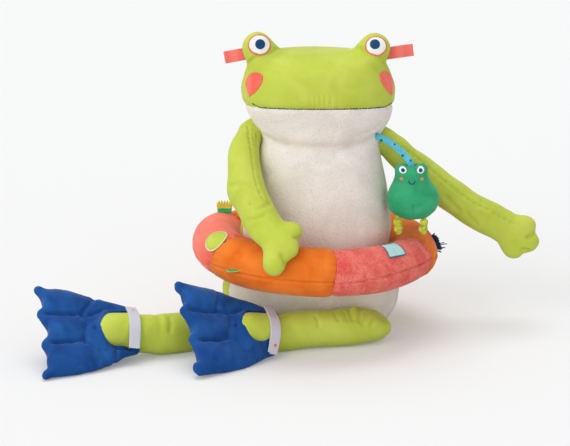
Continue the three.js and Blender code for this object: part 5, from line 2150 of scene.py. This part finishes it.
LEGS = (
    Leg(
        "left",
        LEFT_FOOT,
        axis=(
            (0.0876, -0.0937, 0.029), (0.0435, -0.109, 0.029), (-0.0055, -0.118, 0.0295),
            (-0.0456, -0.1288, 0.0304), (-0.1036, -0.1638, 0.0416),
        ),
        folds=(
            Fold(0.022, -10, 50, 0.002, 0.004, 30),
            Fold(0.034, 5, 45, 0.0022, 0.0035, -20),
            Fold(0.05, -5, 40, 0.0016, 0.004, 40),
            Fold(0.085, 10, 50, 0.0009, 0.004),
            Fold(0.11, -20, 50, 0.001, 0.004, 30),
        ),
        creases=(
            crease(2.8, 3.4, (52.6, -105.2, 57.9), (53.9, -117.1, 55.8), (56.8, -126.9, 48.9)),
            crease(3, 3.4, (66.2, -104.9, 57.8), (69, -116.5, 53.9), (68.7, -126.5, 45.4)),
            crease(2.2, 3.4, (79.5, -111.9, 54.1), (77.7, -120, 48.4), (74.3, -126.7, 40.5)),
            crease(2, 3.2, (44.3, -115.3, 57.7), (47.3, -123, 54.3), (48.8, -130, 48.2)),
            crease(2, 2.6, (29.9, -120.6, 56.9), (31.4, -127.4, 54), (34.4, -132.4, 48.9)),
            crease(1.8, 3, (-0.4, -133.4, 54.2), (2.7, -136.9, 50.4), (4.2, -142.7, 42.3)),
            crease(2, 3, (92.2, -115.3, 47.7), (90.5, -119.5, 43.2), (87.2, -123.8, 36.2)),
        ),
        nudges=(
            nudge((105, -98, 56), (0, 0, -10), 22),
            nudge((118, -100, 25), (6, 0, 0), 22),
            nudge((61, -108, 59), (0, 0, 4), 8),
            nudge((-60, -150, 6), (0, -2, -5), 40),
        ),
    ),
    Leg(
        "right",
        RIGHT_FOOT,
        axis=(
            (-0.112, -0.0896, 0.029), (-0.1552, -0.1094, 0.0295), (-0.2002, -0.1292, 0.0308),
            (-0.2398, -0.1463, 0.0344), (-0.319, -0.1753, 0.0446),
        ),
        folds=(
            Fold(0.1, 10, 60, 0.0012, 0.005, 20),
            Fold(0.13, 100, 50, 0.0016, 0.005, 30),
            Fold(0.155, -20, 60, 0.001, 0.005),
        ),
        creases=(
            crease(1.8, 4, (-271.6, -172.2, 63.2), (-271.1, -181.1, 56.2), (-273.3, -186.1, 48)),
            crease(1.4, 4, (-230.2, -156.4, 59.9), (-228.2, -166.8, 51.6), (-229.7, -171.8, 43.4)),
        ),
        nudges=(
            nudge((-262, -175, 12), (0, -3, -8), 45),
            nudge((-200, -150, 10), (0, -2, -4), 40),
        ),
    ),
)
FLIPPERS = (
    Flipper(
        "left", LEFT_FOOT, lower=(0.245, -0.709, -0.661),
        tack=(-0.0647, -0.1825, 0.0239), tack_look=(0.1, -0.9, -0.1),
        creases=(
            crease(3, 3.2, (-155.2, -143.3, 97.7), (-156.3, -161.7, 91.1), (-156.9, -175.8, 77.4)),
            crease(3.2, 3.2, (-137.3, -175.6, 65.9), (-137.2, -192.2, 56.5), (-138.5, -206.3, 44)),
            crease(2.6, 3, (-156.4, -176.5, 76), (-138.6, -170.6, 69.3), (-117.1, -153.3, 68.8)),
            crease(1.6, 3.5, (-124, -205, 36.2), (-114.6, -212.2, 25.5), (-109.1, -223.4, 9.7)),
            crease(1.8, 3.5, (-108.7, -194.2, 34.3), (-99.3, -202.5, 22.3), (-96.1, -210.7, 12)),
            crease(1.6, 3.5, (-92.3, -184, 31), (-83.9, -187.7, 23.9), (-82.2, -195.4, 16.7)),
        ),
    ),
    Flipper(
        "right", RIGHT_FOOT, lower=(0.209, -0.774, -0.598),
        tack=(-0.2885, -0.1509, 0.0725), tack_look=(0.1, -0.4, 0.9),
        show_middle=(0.0352, 0.0056), show_half=(0.0228, 0.033), strap_turn=-5.5,
        knobs=((0.14, -0.0765), (0.144, -0.032), (0.142, 0.0225), (0.148, 0.0765)),
        tips=(
            (0.0025, 0.002), (0.001, 0.0), (0.0045, -0.002), (0.0, 0.0), (0.006, 0.001),
            (0.013, 0.0), (0.009, 0.002),
        ),
        spread=(0.0065, 0.008),
        creases=(
            crease(
                3, 3.2, (-349.1, -137, 87.6), (-355.6, -154.9, 82.4), (-363.1, -169.1, 75.4),
                (-367, -179.1, 68.7),
            ),
            crease(
                3, 3.2, (-359.8, -185.9, 63.5), (-359.8, -197.8, 56.7), (-359.4, -208.7, 47.2),
                (-359.3, -220.4, 38.8),
            ),
            crease(2.4, 3, (-366.6, -184.4, 66.3), (-351.3, -171.8, 68), (-337.9, -162.5, 70)),
            crease(3.6, 3, (-312.8, -215.9, 25.1), (-311.5, -222.5, 17.6), (-313.8, -221.5, 7.5)),
            crease(
                1.4, 3.5, (-346.9, -231.9, 28.9), (-340.6, -236.4, 20.7), (-338.8, -241.5, 12.6),
            ),
            crease(1.6, 3.5, (-335.4, -222.5, 29), (-327.4, -227.8, 21), (-324.1, -232.2, 14.4)),
        ),
    ),
)


def main() -> None:
    """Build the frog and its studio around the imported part."""
    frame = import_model()
    nodes = frame["nodes"]
    Studio().build()
    figure = Figure(nodes)
    cover = Surface(figure.build())
    figure.sew_mouth(cover)
    for patch in (*EYES, *CHEEKS):
        patch.build(cover)
    for tag in EAR_TAGS:
        tag.build()
    for limb in (*ARMS, *LEGS, *FLIPPERS):
        limb.build(nodes)
    ring = SwimRing()
    ring.build()
    for sew in (ring.label, ring.motif, ring.leaf, ring.comb, ring.fringe):
        sew()
    HangingToy().build(nodes)


if __name__ == "__main__":
    logging.basicConfig(level=logging.INFO, format="%(message)s")
    main()
